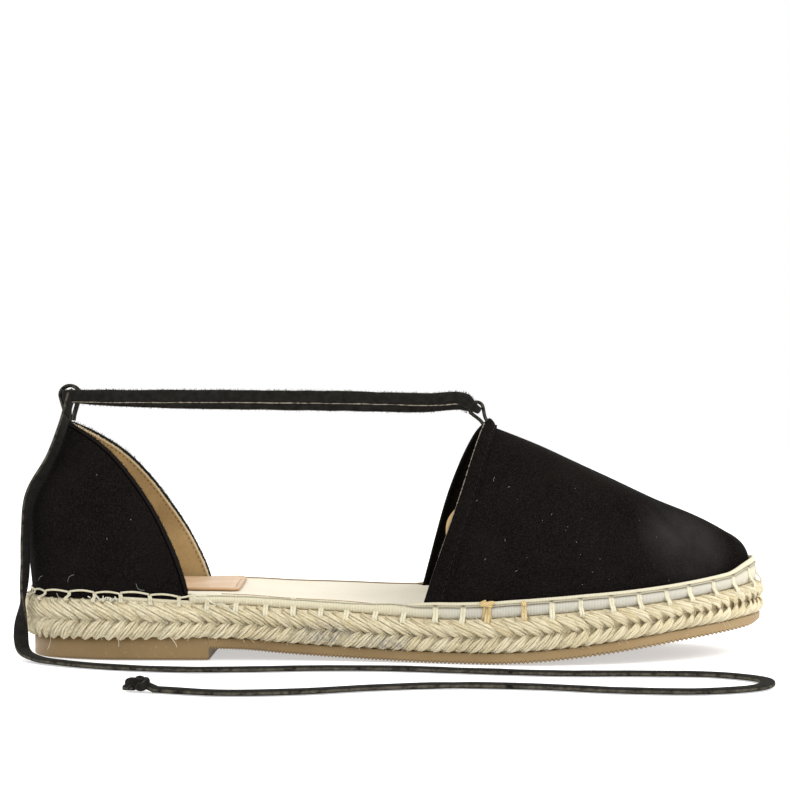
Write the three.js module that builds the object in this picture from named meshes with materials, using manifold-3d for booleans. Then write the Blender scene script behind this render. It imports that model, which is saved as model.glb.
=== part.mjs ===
// A flat two-piece espadrille for the right foot, standing empty, with its ankle ties undone and laid on the floor.
// Millimetres. +X points to the toe, +Y to the inner (medial) side of the foot, +Z up.
// The origin is on the floor, under the middle of the shoe.
import * as THREE from "three";
import { mergeVertices } from "three/addons/utils/BufferGeometryUtils.js";
import Module from "manifold-3d";

const wasm = await Module();
wasm.setup();

// Driving sizes of the sole.
const LENGTH = 258; // over the jute, heel to toe
const BALL_WIDTH = 86; // over the jute, at the ball of the foot
const CLEARANCE = 0.3; // between pieces that meet
const RUBBER = 3.7; // thickness of the rubber sheet
const HEEL_LIFT = 3.9; // how far the heel block lifts the sheet
const HEEL_BREAST = 67; // from the back of the jute to the front face of the heel block
const RUBBER_INSET = 4; // of the rubber behind the jute at the back of the heel
const RUBBER_CHAMFER = 0.7;
const HEEL_TAPER = 0.6; // the heel block's foot is this much smaller all round
const TOE_SPRING = 10.2; // underside of the toe above the floor
const JUTE = 11.3; // thickness of the braided sole at the ball
const MEDIAL_RISE = 1.8; // the inner edge of the braid's top over its outer edge, at the arch
const WAIST_WIDTH = 54; // across the arch, where that rise is measured
const BRAID_PITCH = 4.3; // from strand to strand
const BRAID_GROOVE = 0.75; // depth between two strands
const BRAID_SLANT = 6.5; // how far an upper strand leans towards the toe

// Driving sizes of the upper and the insole.
const WALL = 1.8; // suede with its lining
const RAND = 1.3; // thickness of the canvas strip
const RAND_HEIGHT = 5.6;
const RAND_INSET = 3; // of its face behind the edge of the jute
const QUARTER_INSET = 3.4; // of the heel piece behind the edge of the jute
const INSOLE = 3;
const INSOLE_GAP = 1; // between its edge and the upper
const EDGE_BEVEL = 0.4;
const INSTEP_HEIGHT = 78.9; // top of the throat above the floor
const COUNTER_HEIGHT = 80.7; // top of the heel piece above the floor
const HEEL_LEAN = 10.9; // how far the back leans forward at its top
const THROAT_FOOT = 139; // from the back of the jute to the foot of the throat edge
const THROAT_LEAN = 21.9; // how far that edge leans towards the toe at its top
const THROAT_MEDIAL_BACK = 1.8; // how much further back the inner half of that edge bows
const CASING = 1; // extra thickness of the folded casing at the throat
const CASING_WIDTH = 6.6;
const PAD = 0.9; // thickness of the sock patch
const PAD_LENGTH = 62;
const PAD_WIDTH = 37;
const PAD_BACK = 14; // from the back of the jute to the patch
const PAD_MIDDLE = 4; // of the patch, towards the inner side

// Driving sizes of the lace and its loops.
const LACE_WIDTH = 4.6;
const LACE_THICK = 1.7;
const LACE_SAG = 3.2; // of the inner run under the heel loop's hole, where it hangs lowest
const LACE_BOW = 14; // how far each run stands out from the middle
const LACE_DIP = 35; // degrees that the runs fall into the vamp loop
const LACE_PASS = 1.8; // how far a run is straight on each side of the heel loop
const GATHERED_WIDTH = 2.6; // of the lace where it bunches in the vamp loop
const GATHERED_THICK = 2.4;
const GATHER_LENGTH = 9;
const LOOP_THICK = 1.2;
const HEEL_LOOP_HEIGHT = 12.1;
const HEEL_LOOP_SPAN = 7.8; // along the shoe
const HEEL_LOOP_WIDTH = 5; // across the shoe
const VAMP_LOOP_HEIGHT = 8.2;
const VAMP_LOOP_SPAN = 6;
const VAMP_LOOP_WIDTH = 3.4;
const VAMP_LOOP_TILT = 32; // degrees that it leans back
const KNOT_RADIUS = 2.5;
const KNOT_TUBE = 1.15;

const HALF_LENGTH = LENGTH / 2;
const HALF_WIDTH = BALL_WIDTH / 2;
const UPPER_INSET = RAND_INSET + RAND + CLEARANCE;

// Outline of the jute seen from above: share of the length from the heel, and of half the ball width, outer side < 0.
const OUTLINE = [
  { along: 0.0, across: 0.02 },
  { along: 0.032, across: -0.45 },
  { along: 0.105, across: -0.675 },
  { along: 0.21, across: -0.7 },
  { along: 0.33, across: -0.675 },
  { along: 0.43, across: -0.71 },
  { along: 0.53, across: -0.83 },
  { along: 0.63, across: -0.965 },
  { along: 0.7, across: -1.0 },
  { along: 0.79, across: -0.92 },
  { along: 0.87, across: -0.74 },
  { along: 0.94, across: -0.46 },
  { along: 0.985, across: -0.16 },
  { along: 1.0, across: 0.1 },
  { along: 0.985, across: 0.36 },
  { along: 0.94, across: 0.61 },
  { along: 0.87, across: 0.82 },
  { along: 0.79, across: 0.96 },
  { along: 0.71, across: 1.0 },
  { along: 0.62, across: 0.92 },
  { along: 0.53, across: 0.77 },
  { along: 0.43, across: 0.65 },
  { along: 0.33, across: 0.635 },
  { along: 0.21, across: 0.68 },
  { along: 0.105, across: 0.67 },
  { along: 0.032, across: 0.46 },
];

// Heights along the sole, as shares of the size each column follows:
// lift of HEEL_LIFT, spring of TOE_SPRING, jute of JUTE, rise of MEDIAL_RISE, rubber of RUBBER_INSET, rand of RAND_HEIGHT.
const SOLE_LINE = [
  { at: 0.0, lift: 1, spring: 0, jute: 1.1, rise: 0, rubber: 1, rand: 0.55 },
  { at: 0.12, lift: 1, spring: 0, jute: 1.095, rise: 0.25, rubber: 0.8, rand: 0.5 },
  { at: 0.25, lift: 1, spring: 0, jute: 0.96, rise: 0.85, rubber: 0.5, rand: 0.45 },
  { at: 0.3, lift: 0.91, spring: 0, jute: 0.955, rise: 1, rubber: 0.45, rand: 0.47 },
  { at: 0.36, lift: 0.57, spring: 0, jute: 0.97, rise: 1, rubber: 0.42, rand: 0.52 },
  { at: 0.43, lift: 0.28, spring: 0, jute: 1, rise: 1, rubber: 0.4, rand: 0.47 },
  { at: 0.5, lift: 0.09, spring: 0, jute: 0.96, rise: 0.95, rubber: 0.38, rand: 0.68 },
  { at: 0.56, lift: 0, spring: 0, jute: 0.945, rise: 0.85, rubber: 0.36, rand: 0.95 },
  { at: 0.62, lift: 0, spring: 0, jute: 0.99, rise: 0.63, rubber: 0.355, rand: 0.95 },
  { at: 0.65, lift: 0, spring: 0.035, jute: 1.015, rise: 0.5, rubber: 0.35, rand: 0.95 },
  { at: 0.68, lift: 0, spring: 0.085, jute: 1.02, rise: 0.4, rubber: 0.35, rand: 0.95 },
  { at: 0.73, lift: 0, spring: 0.21, jute: 1, rise: 0.25, rubber: 0.35, rand: 0.93 },
  { at: 0.8, lift: 0, spring: 0.43, jute: 0.915, rise: 0.1, rubber: 0.33, rand: 0.93 },
  { at: 0.87, lift: 0, spring: 0.67, jute: 0.86, rise: 0, rubber: 0.32, rand: 0.93 },
  { at: 0.94, lift: 0, spring: 0.86, jute: 0.885, rise: 0, rubber: 0.31, rand: 0.97 },
  { at: 0.97, lift: 0, spring: 0.94, jute: 0.92, rise: 0, rubber: 0.305, rand: 1.3 },
  { at: 1.0, lift: 0, spring: 1, jute: 0.965, rise: 0, rubber: 0.3, rand: 1.58 },
];

// Side of the braid from its lower edge up: share of the height, inset in mm, share of the groove, share of the slant.
const BRAID_SIDE = [
  { up: 0, inset: 3, groove: 0, slant: 0.35 },
  { up: 0.2, inset: 0.6, groove: 0.9, slant: 0.65 },
  { up: 0.44, inset: 1.3, groove: 1, slant: 1 },
  { up: 0.66, inset: 0.1, groove: 1, slant: 0.55 },
  { up: 0.88, inset: 0.8, groove: 0.8, slant: 0.15 },
  { up: 1, inset: 2.6, groove: 0, slant: 0 },
];

// Top line of the vamp: share of the length from the heel, height as a share of INSTEP_HEIGHT.
const VAMP_TOP = [
  { at: 0.61, height: 1.02 },
  { at: 0.695, height: 0.911 },
  { at: 0.742, height: 0.84 },
  { at: 0.793, height: 0.763 },
  { at: 0.8415, height: 0.687 },
  { at: 0.887, height: 0.621 },
  { at: 0.927, height: 0.562 },
  { at: 0.953, height: 0.523 },
  { at: 0.985, height: 0.478 },
];

// Back line and width of the heel piece, by height: share of HEEL_LEAN, and of the width at its foot.
const HEEL_SECTION = [
  { up: 0.0, lean: 0, width: 1 },
  { up: 0.17, lean: -0.1, width: 1.015 },
  { up: 0.32, lean: -0.18, width: 1.015 },
  { up: 0.46, lean: -0.19, width: 0.97 },
  { up: 0.56, lean: -0.06, width: 0.91 },
  { up: 0.68, lean: 0.28, width: 0.82 },
  { up: 0.83, lean: 0.66, width: 0.67 },
  { up: 1.0, lean: 1, width: 0.47 },
];

// How much of the lean each length of the heel piece takes: all of it at the back, none at its front.
const LEAN_FADE = [
  { at: 0.013, share: 1 },
  { at: 0.06, share: 0.88 },
  { at: 0.12, share: 0.5 },
  { at: 0.17, share: 0.15 },
  { at: 0.23, share: 0 },
];

// Collar edge of the heel piece, outer half: share of the length, and height as a share of the piece's own.
const COLLAR = [
  { at: 0.0554, up: 1.0 },
  { at: 0.0663, up: 0.983 },
  { at: 0.1, up: 0.905 },
  { at: 0.1264, up: 0.823 },
  { at: 0.1531, up: 0.707 },
  { at: 0.1764, up: 0.58 },
  { at: 0.1938, up: 0.467 },
  { at: 0.2078, up: 0.352 },
  { at: 0.2194, up: 0.238 },
  { at: 0.2279, up: 0.136 },
  { at: 0.2322, up: 0.066 },
];
const COLLAR_MEDIAL_REACH = 3.3; // the inner half reaches this much further forward at its foot
const COLLAR_MEDIAL_SPAN = 0.5; // and this share of the height up it no longer does

// The two runs of lace from the heel loop to the vamp loop: share of the way, how far out as a share of LACE_BOW,
// and how far each hangs under the heel loop's hole, as shares of LACE_SAG.
const LACE_LINE = [
  { at: 0.05, out: 0.5, outer: 0, inner: 0.2 },
  { at: 0.14, out: 0.72, outer: 0.05, inner: 0.4 },
  { at: 0.3, out: 0.93, outer: 0.06, inner: 0.6 },
  { at: 0.5, out: 1, outer: 0.1, inner: 0.72 },
  { at: 0.7, out: 0.9, outer: 0.2, inner: 0.86 },
  { at: 0.87, out: 0.68, outer: 0.38, inner: 1 },
];

// The last points of a run, as shares of LACE_WIDTH: back from the vamp loop's hole along the dip, out from the middle,
// and how much lower the inner run lies.
const LACE_ENTRY = [
  { back: 1.3, out: 1.48, innerDrop: 0.3 },
  { back: 0.52, out: 1.13, innerDrop: 0.11 },
  { back: 0, out: 0.52, innerDrop: 0 },
];
const OUTER_END_DROP = 0.87; // how far the outer run falls past the heel loop, as a share of LACE_WIDTH
const INNER_END_DROP = 1.52;

// A smooth curve through the rows of a table, with no bumps between equal values.
function curveOf(rows, from, to) {
  const x = rows.map((row) => row[from]);
  const y = rows.map((row) => row[to]);
  const rate = x.slice(1).map((value, i) => (y[i + 1] - y[i]) / (value - x[i]));
  const slope = x.map((_, i) => {
    if (i === 0) return rate[0];
    if (i === x.length - 1) return rate[i - 1];
    if (rate[i - 1] * rate[i] <= 0) return 0;
    return (2 * rate[i - 1] * rate[i]) / (rate[i - 1] + rate[i]);
  });
  return (at) => {
    const clamped = Math.min(Math.max(at, x[0]), x[x.length - 1]);
    const found = x.findIndex((value) => value >= clamped);
    const i = Math.max(found - 1, 0);
    const width = x[i + 1] - x[i];
    const t = (clamped - x[i]) / width;
    const bend = (1 - t) * t * width;
    const straight = y[i] + (y[i + 1] - y[i]) * t * t * (3 - 2 * t);
    return straight + bend * ((1 - t) * slope[i] - t * slope[i + 1]);
  };
}

const mix = (a, b, t) => a + (b - a) * t;
const shareOfLength = (x) => (x + HALF_LENGTH) / LENGTH;
const xAt = (share) => share * LENGTH - HALF_LENGTH;

// The outline as two halves, each from the back of the heel to the tip of the toe, spaced by length along it.
function outlineHalves() {
  const control = OUTLINE.map(({ along, across }) => new THREE.Vector3(xAt(along), across * HALF_WIDTH, 0));
  const dense = new THREE.CatmullRomCurve3(control, true, "centripetal").getPoints(1600).slice(0, -1);
  const box = new THREE.Box3().setFromPoints(dense);
  const size = box.getSize(new THREE.Vector3());
  const middle = box.getCenter(new THREE.Vector3());
  for (const p of dense) {
    p.x = ((p.x - middle.x) * LENGTH) / size.x;
    p.y = ((p.y - middle.y) * BALL_WIDTH) / size.y;
  }
  const extreme = (sign) => dense.reduce((best, p, i) => (sign * p.x > sign * dense[best].x ? i : best), 0);
  const heel = extreme(-1);
  const toe = extreme(1);
  const halfFrom = (step) => {
    const half = [];
    for (let i = heel; ; i = (i + step + dense.length) % dense.length) {
      const before = dense[(i - 1 + dense.length) % dense.length];
      const after = dense[(i + 1) % dense.length];
      const run = after.clone().sub(before).normalize();
      const last = half[half.length - 1];
      const length = last ? last.length + last.point.distanceTo(dense[i]) : 0;
      half.push({ point: dense[i], normal: new THREE.Vector3(run.y, -run.x, 0), length });
      if (i === toe) return half;
    }
  };
  return { outer: halfFrom(1), inner: halfFrom(-1) };
}
const halves = outlineHalves();
const halfLengthOf = (side) => halves[side][halves[side].length - 1].length;
const PERIMETER = halfLengthOf("outer") + halfLengthOf("inner");

// The point at a share of one half of the outline, moved inwards by an inset.
function rimPoint(side, share, inset = 0) {
  const half = halves[side];
  const wanted = Math.min(Math.max(share, 0), 1) * halfLengthOf(side);
  let low = 0;
  let high = half.length - 1;
  while (high - low > 1) {
    const middle = (low + high) >> 1;
    if (half[middle].length <= wanted) low = middle;
    else high = middle;
  }
  const t = (wanted - half[low].length) / (half[high].length - half[low].length);
  const normal = half[low].normal.clone().lerp(half[high].normal, t).normalize();
  return half[low].point.clone().lerp(half[high].point, t).addScaledVector(normal, -inset);
}

// The share of a half of the outline at which the inset outline reaches a length along the shoe.
function shareAtX(side, x, inset) {
  let low = 0;
  let high = 1;
  for (let i = 0; i < 40; i++) {
    const middle = (low + high) / 2;
    if (rimPoint(side, middle, inset).x < x) low = middle;
    else high = middle;
  }
  return (low + high) / 2;
}

// A point on the whole outline: 0 at the heel, 1 at the toe by the outer side, 2 at the heel again by the inner side.
function aroundPoint(turn, inset) {
  const wrapped = (turn + 2) % 2;
  return wrapped <= 1 ? rimPoint("outer", wrapped, inset) : rimPoint("inner", 2 - wrapped, inset);
}

const line = Object.fromEntries(
  ["lift", "spring", "jute", "rise", "rubber", "rand"].map((column) => [column, curveOf(SOLE_LINE, "at", column)])
);
const sheetBottom = (x) => {
  const at = shareOfLength(x);
  return HEEL_LIFT * line.lift(at) + TOE_SPRING * line.spring(at);
};
const juteBottom = (x) => sheetBottom(x) + RUBBER + CLEARANCE;
const juteTop = (x, y) => {
  const at = shareOfLength(x);
  const tilt = (MEDIAL_RISE * line.rise(at) * (y + WAIST_WIDTH / 2)) / WAIST_WIDTH;
  return juteBottom(x) + JUTE * line.jute(at) + tilt;
};
const onJute = (x, y) => juteTop(x, y) + CLEARANCE;
const insoleTop = (x, y) => onJute(x, y) + INSOLE;

function geometryOf(points, faces) {
  const geometry = new THREE.BufferGeometry();
  geometry.setAttribute("position", new THREE.Float32BufferAttribute(points.flatMap((p) => p.toArray()), 3));
  geometry.setIndex(faces.flat());
  return geometry;
}

// Two triangles for the corners a, b, c, d, in order round a face.
const quad = (a, b, c, d) => [
  [a, b, c],
  [a, c, d],
];

// A solid from closed rings stacked upwards, each running outer side first, with flat strips across top and bottom.
function stackSolid(rings) {
  const count = rings[0].length;
  const points = rings.flat();
  const faces = [];
  const index = (ring, k) => ring * count + ((k + count) % count);
  for (let ring = 0; ring + 1 < rings.length; ring++) {
    for (let k = 0; k < count; k++) {
      faces.push(...quad(index(ring, k), index(ring, k + 1), index(ring + 1, k + 1), index(ring + 1, k)));
    }
  }
  const top = rings.length - 1;
  for (let k = 0; k < count / 2; k++) {
    const across = [k, k + 1, count - k - 1, count - k];
    for (const [ring, order] of [
      [0, [3, 2, 1, 0]],
      [top, [0, 1, 2, 3]],
    ]) {
      const corners = order.map((i) => index(ring, across[i]));
      const distinct = corners.filter((corner, i) => corners.indexOf(corner) === i);
      if (distinct.length === 3) faces.push(distinct);
      else faces.push(...quad(...distinct));
    }
  }
  return geometryOf(points, faces);
}

// A ring of the outline at an inset and a height, both of which may depend on the place.
function outlineRing(count, inset, height) {
  return Array.from({ length: 2 * count }, (_, k) => {
    const flat = aroundPoint(k / count, 0);
    const point = aroundPoint(k / count, inset(flat.x, flat.y));
    point.z = height(point.x, point.y);
    return point;
  });
}

// A solid swept through sections of equal point count, closed at both ends.
function sweptSolid(sections) {
  const count = sections[0].length;
  const faces = [];
  for (let s = 0; s + 1 < sections.length; s++) {
    for (let k = 0; k < count; k++) {
      const next = (k + 1) % count;
      faces.push(...quad(s * count + k, (s + 1) * count + k, (s + 1) * count + next, s * count + next));
    }
  }
  const last = (sections.length - 1) * count;
  for (let k = 1; k + 1 < count; k++) {
    faces.push([0, k, k + 1]);
    faces.push([last, last + k + 1, last + k]);
  }
  return geometryOf(sections.flat(), faces);
}

function solidFrom(geometry) {
  const bare = geometry.index ? geometry.toNonIndexed() : geometry.clone();
  bare.deleteAttribute("normal");
  bare.deleteAttribute("uv");
  const merged = mergeVertices(bare, 1e-4);
  const triVerts = new Uint32Array(merged.index.array);
  return new wasm.Manifold(
    new wasm.Mesh({ numProp: 3, vertProperties: merged.attributes.position.array, triVerts })
  );
}

function geometryFromSolid(solid) {
  const mesh = solid.getMesh();
  const geometry = new THREE.BufferGeometry();
  geometry.setAttribute("position", new THREE.BufferAttribute(new Float32Array(mesh.vertProperties), 3));
  geometry.setIndex(new THREE.BufferAttribute(new Uint32Array(mesh.triVerts), 1));
  return geometry;
}

// A solid block between two corners, for cutting.
function blockBetween(low, high) {
  const size = high.clone().sub(low);
  const geometry = new THREE.BoxGeometry(size.x, size.y, size.z);
  geometry.translate(...low.clone().add(high).multiplyScalar(0.5).toArray());
  return solidFrom(geometry);
}
const TALL = 4 * INSTEP_HEIGHT; // beyond every piece, for cutting blocks

// The rubber outsole: a sheet with arch and toe spring, and the heel block moulded under it.
function outsole() {
  const STATIONS = 54;
  const inset = (x) => RUBBER_INSET * line.rubber(shareOfLength(x));
  const ring = (extra, height) => outlineRing(STATIONS, (x) => inset(x) + extra, height);
  const sheet = stackSolid([
    ring(RUBBER_CHAMFER, sheetBottom),
    ring(0, (x) => sheetBottom(x) + RUBBER_CHAMFER),
    ring(0, (x) => sheetBottom(x) + RUBBER),
  ]);
  const heelTop = HEEL_LIFT + RUBBER / 2;
  const block = stackSolid([
    ring(HEEL_TAPER + RUBBER_CHAMFER, () => 0),
    ring(HEEL_TAPER, () => RUBBER_CHAMFER),
    ring(RUBBER_CHAMFER / 2, () => heelTop),
  ]);
  const breast = -HALF_LENGTH + HEEL_BREAST;
  const behind = blockBetween(
    new THREE.Vector3(-LENGTH, -BALL_WIDTH, -1),
    new THREE.Vector3(breast, BALL_WIDTH, TALL)
  );
  return geometryFromSolid(solidFrom(sheet).add(solidFrom(block).intersect(behind)));
}

// The braided midsole: every other station of each ring lies in a groove between two strands,
// and the rings are turned against each other, so the strands slant up and down from the middle line.
function juteMidsole() {
  const strands = Math.round(PERIMETER / BRAID_PITCH);
  const rings = BRAID_SIDE.map(({ up, inset, groove, slant }) => {
    const turned = (slant * BRAID_SLANT * 2) / PERIMETER;
    return Array.from({ length: 2 * strands }, (_, k) => {
      const point = aroundPoint(k / strands + turned, inset + (k % 2) * groove * BRAID_GROOVE);
      point.z = mix(juteBottom(point.x), juteTop(point.x, point.y), up);
      return point;
    });
  });
  return stackSolid(rings);
}

// Where each half of the heel piece and of the vamp ends, along the shoe.
const collarAt = curveOf([...COLLAR].reverse(), "up", "at");
function collarX(side, up) {
  const reach = side === "inner" ? COLLAR_MEDIAL_REACH * Math.max(0, 1 - up / COLLAR_MEDIAL_SPAN) : 0;
  return xAt(collarAt(up)) + reach;
}
const COLLAR_FOOT = COLLAR[COLLAR.length - 1].up;
const throatFootX = THROAT_FOOT - HALF_LENGTH;

// The canvas rand: a strip on the edge of the jute, from the heel piece round the toe and back.
function rand() {
  const STATIONS = 76;
  const startOf = (side) => shareAtX(side, collarX(side, COLLAR_FOOT) + 2 * CLEARANCE, RAND_INSET);
  const from = startOf("outer");
  const to = 2 - startOf("inner");
  const sections = Array.from({ length: STATIONS + 1 }, (_, i) => {
    const turn = mix(from, to, i / STATIONS);
    const face = aroundPoint(turn, RAND_INSET);
    const low = onJute(face.x, face.y);
    const height = RAND_HEIGHT * line.rand(shareOfLength(face.x));
    return [
      { inset: 0, up: 0 },
      { inset: -0.3 * RAND, up: 0.45 },
      { inset: 0, up: 0.85 },
      { inset: 0.45 * RAND, up: 1 },
      { inset: RAND, up: 0.93 },
      { inset: RAND, up: 0 },
    ].map(({ inset, up }) => {
      const point = aroundPoint(turn, RAND_INSET + inset);
      point.z = low + height * up;
      return point;
    });
  });
  return sweptSolid(sections);
}

// The insole: narrow inside the two upper pieces, and out to the rand in the open waist between them.
function insole() {
  const STATIONS = 38;
  const plate = (inset) =>
    stackSolid([
      outlineRing(STATIONS, inset, onJute),
      outlineRing(STATIONS, inset, (x, y) => insoleTop(x, y) - EDGE_BEVEL),
      outlineRing(STATIONS, (x) => inset(x) + EDGE_BEVEL, insoleTop),
    ]);
  const heelInset = QUARTER_INSET + WALL + INSOLE_GAP;
  const toeInset = UPPER_INSET + WALL + INSOLE_GAP;
  const narrow = solidFrom(plate((x) => mix(heelInset, toeInset, THREE.MathUtils.smoothstep(x, -80, 0))));
  const wide = solidFrom(plate(() => UPPER_INSET));
  const middles = ["outer", "inner"].map((side) => {
    const sign = side === "outer" ? -1 : 1;
    const low = new THREE.Vector3(collarX(side, COLLAR_FOOT) + 2 * CLEARANCE, Math.min(0, sign * BALL_WIDTH), 0);
    const high = new THREE.Vector3(throatFootX - 2 * CLEARANCE, Math.max(0, sign * BALL_WIDTH), TALL);
    return wide.intersect(blockBetween(low, high));
  });
  return geometryFromSolid(narrow.add(middles[0]).add(middles[1]));
}

// The sock patch: a thin plate on the insole, round at the heel and square at its front.
function heelPad() {
  const STATIONS = 20;
  const back = PAD_BACK - HALF_LENGTH;
  const half = PAD_WIDTH / 2;
  const CORNER = 3;
  const sideOf = (share) => {
    const turn = Math.min(share * 2, 1) * (Math.PI / 2);
    const ahead = Math.max(share * 2 - 1, 0);
    const x = back + half * (1 - Math.cos(turn)) + ahead * (PAD_LENGTH - half);
    const corner = Math.max(0, x - (back + PAD_LENGTH - CORNER)) / CORNER;
    return { x, y: half * Math.sin(turn) - CORNER * (1 - Math.sqrt(1 - corner * corner)) };
  };
  const ring = (height) => {
    const outer = Array.from({ length: STATIONS + 1 }, (_, k) => sideOf(k / STATIONS));
    const front = { x: back + PAD_LENGTH, y: 0 };
    const rows = [
      ...outer.map(({ x, y }) => [x, PAD_MIDDLE - y]),
      [front.x, PAD_MIDDLE],
      ...outer.slice(1).reverse().map(({ x, y }) => [x, PAD_MIDDLE + y]),
    ];
    return rows.map(([x, y]) => new THREE.Vector3(x, y, height(x, y)));
  };
  const low = (x, y) => insoleTop(x, y) + CLEARANCE;
  return stackSolid([ring(low), ring((x, y) => low(x, y) + PAD)]);
}

// A hollow shell from a grid of outer points, [column][row], with a wall added inwards and optional extra outwards.
// Rows run upwards from the foot. Points that coincide are one, so two halves may share a line.
function shellSolid(columns, extra = () => 0) {
  const rows = columns[0].length;
  const merged = new Map();
  const points = [];
  const source = [];
  const idOf = columns.map((column, c) =>
    column.map((point, r) => {
      const key = point.toArray().map((value) => Math.round(value * 1e4)).join();
      if (!merged.has(key)) {
        merged.set(key, points.length);
        points.push(point.clone());
        source.push([c, r]);
      }
      return merged.get(key);
    })
  );
  const faces = [];
  for (let c = 0; c + 1 < columns.length; c++) {
    for (let r = 0; r + 1 < rows; r++) {
      const corners = [idOf[c][r], idOf[c + 1][r], idOf[c + 1][r + 1], idOf[c][r + 1]];
      for (const face of quad(...corners)) if (new Set(face).size === 3) faces.push(face);
    }
  }
  const outer = geometryOf(points, faces);
  outer.computeVertexNormals();
  const normals = outer.attributes.normal;
  const normal = points.map((_, i) => new THREE.Vector3().fromBufferAttribute(normals, i));
  const moved = (distanceOf) =>
    points.map((point, i) => {
      const [c, r] = source[i];
      const at = point.clone().addScaledVector(normal[i], distanceOf(c, r));
      if (r === 0) at.z = point.z;
      return at;
    });
  const all = [...moved(extra), ...moved(() => -WALL)];
  const inside = points.length;
  const edges = new Map();
  for (const [a, b, c] of faces) {
    for (const edge of [
      [a, b],
      [b, c],
      [c, a],
    ]) {
      edges.set(edge.join(), edge);
    }
  }
  const rims = [...edges.values()].filter(([from, to]) => !edges.has(`${to},${from}`));
  const closed = [
    ...faces,
    ...faces.map(([a, b, c]) => [c + inside, b + inside, a + inside]),
    ...rims.flatMap(([from, to]) => quad(to, from, from + inside, to + inside)),
  ];
  return geometryOf(all, closed);
}

// The vamp: curves rise from the foot of the upper to the top line, from the throat round the toe.
const vampTopAt = curveOf(VAMP_TOP, "at", "height");
const vampTop = (x) => INSTEP_HEIGHT * vampTopAt(shareOfLength(x));
const TOP_FRONT_X = xAt(0.932); // where the curve over the tip of the toe meets the top line
const THROAT_TOP_X = throatFootX + THROAT_LEAN;
const TOE_TIP_Y = rimPoint("outer", 1).y;

function vampPoint(side, run, rise) {
  const foot = throatFootX;
  const start = shareAtX(side, foot, UPPER_INSET);
  const base = rimPoint(side, mix(start, 1, run), UPPER_INSET);
  base.z = onJute(base.x, base.y);
  const toe = THREE.MathUtils.smoothstep(run, 0.72, 1);
  const fullness = mix(2.05, 2.35, Math.min(run / 0.7, 1)) + 1.7 * toe;
  const angle = (rise * Math.PI) / 2;
  const across = 1 - Math.cos(angle) ** (2 / fullness);
  const up = Math.sin(angle) ** (2 / fullness);
  const topX = mix(THROAT_TOP_X, TOP_FRONT_X, run);
  const topY = mix(0.5, TOE_TIP_Y * 0.85, run);
  const forward = mix(0.8 * up ** 0.9 + 0.2 * across, across, toe);
  const bow = side === "inner" ? THROAT_MEDIAL_BACK * Math.sin(2 * angle) * Math.max(0, 1 - 3 * run) : 0;
  const x = mix(base.x, topX, forward) - bow;
  const y = mix(base.y, topY, across);
  const height = mix(vampTop(topX), vampTop(x), toe);
  return new THREE.Vector3(x, y, mix(base.z, height, up));
}

function vamp() {
  const RISES = 8;
  const RUNS = 21;
  const TOE_CROWDING = 1.3; // above 1 the columns draw closer together towards the toe
  const halfLength = (1 - shareAtX("outer", throatFootX, UPPER_INSET)) * halfLengthOf("outer");
  const casing = CASING_WIDTH / halfLength;
  const step = CLEARANCE / halfLength;
  const runs = [0, casing / 2, casing, casing + step];
  for (let i = 1; i <= RUNS; i++) runs.push(mix(casing + step, 1, 1 - (1 - i / RUNS) ** TOE_CROWDING));
  const column = (side, run) => Array.from({ length: RISES + 1 }, (_, r) => vampPoint(side, run, r / RISES));
  const columns = [
    ...runs.map((run) => column("outer", run)),
    ...runs.slice(0, -1).reverse().map((run) => column("inner", run)),
  ];
  const inCasing = (c) => Math.min(c, columns.length - 1 - c) < 3;
  return shellSolid(columns, (c, r) => (inCasing(c) && r > 0 ? CASING : 0));
}

// The heel piece: its foot follows the outline, and its sides close in and lean forward with height.
const heelLean = curveOf(HEEL_SECTION, "up", "lean");
const heelWidth = curveOf(HEEL_SECTION, "up", "width");
const leanFade = curveOf(LEAN_FADE, "at", "share");

function quarterPoint(side, share, up) {
  const foot = rimPoint(side, share, QUARTER_INSET);
  const low = onJute(foot.x, foot.y);
  const x = foot.x + HEEL_LEAN * heelLean(up) * leanFade(shareOfLength(foot.x));
  return new THREE.Vector3(x, foot.y * heelWidth(up), mix(low, COUNTER_HEIGHT, up));
}

// The share of the outline whose upright line meets the collar at a height.
function collarShare(side, up) {
  const wanted = collarX(side, up);
  let low = 0;
  let high = 0.5;
  for (let i = 0; i < 40; i++) {
    const middle = (low + high) / 2;
    if (quarterPoint(side, middle, up).x < wanted) low = middle;
    else high = middle;
  }
  return (low + high) / 2;
}

function heelQuarter() {
  const RISES = 7;
  const heights = [0.992, 0.965, 0.92, 0.87, 0.81, 0.74, 0.66, 0.57, 0.47, 0.36, 0.25, 0.15, COLLAR_FOOT];
  const column = (side, share, up) =>
    Array.from({ length: RISES + 1 }, (_, r) => quarterPoint(side, share, (up * r) / RISES));
  const halfOf = (side) => heights.map((up) => column(side, collarShare(side, up), up));
  return shellSolid([...halfOf("inner").reverse(), column("outer", 0, 1), ...halfOf("outer")]);
}

// A strap loop: a band bent over a round top, narrower at its foot, extruded across and standing on the origin.
function strapLoop(height, span, width) {
  const SIDES = 12;
  const FOOT_SHARE = 0.75; // of the span
  const radius = span / 2;
  const outline = (inset) => {
    const foot = radius * FOOT_SHARE - inset;
    const points = [new THREE.Vector2(-foot, inset), new THREE.Vector2(foot, inset)];
    for (let i = 0; i <= SIDES; i++) {
      const angle = (Math.PI * i) / SIDES;
      points.push(
        new THREE.Vector2((radius - inset) * Math.cos(angle), height - radius + (radius - inset) * Math.sin(angle))
      );
    }
    return points;
  };
  const shape = new THREE.Shape(outline(0));
  shape.holes.push(new THREE.Path(outline(LOOP_THICK)));
  const geometry = new THREE.ExtrudeGeometry(shape, { depth: width, bevelEnabled: false, curveSegments: 1 });
  geometry.translate(0, 0, -width / 2);
  geometry.rotateX(Math.PI / 2);
  return geometry;
}

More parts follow.
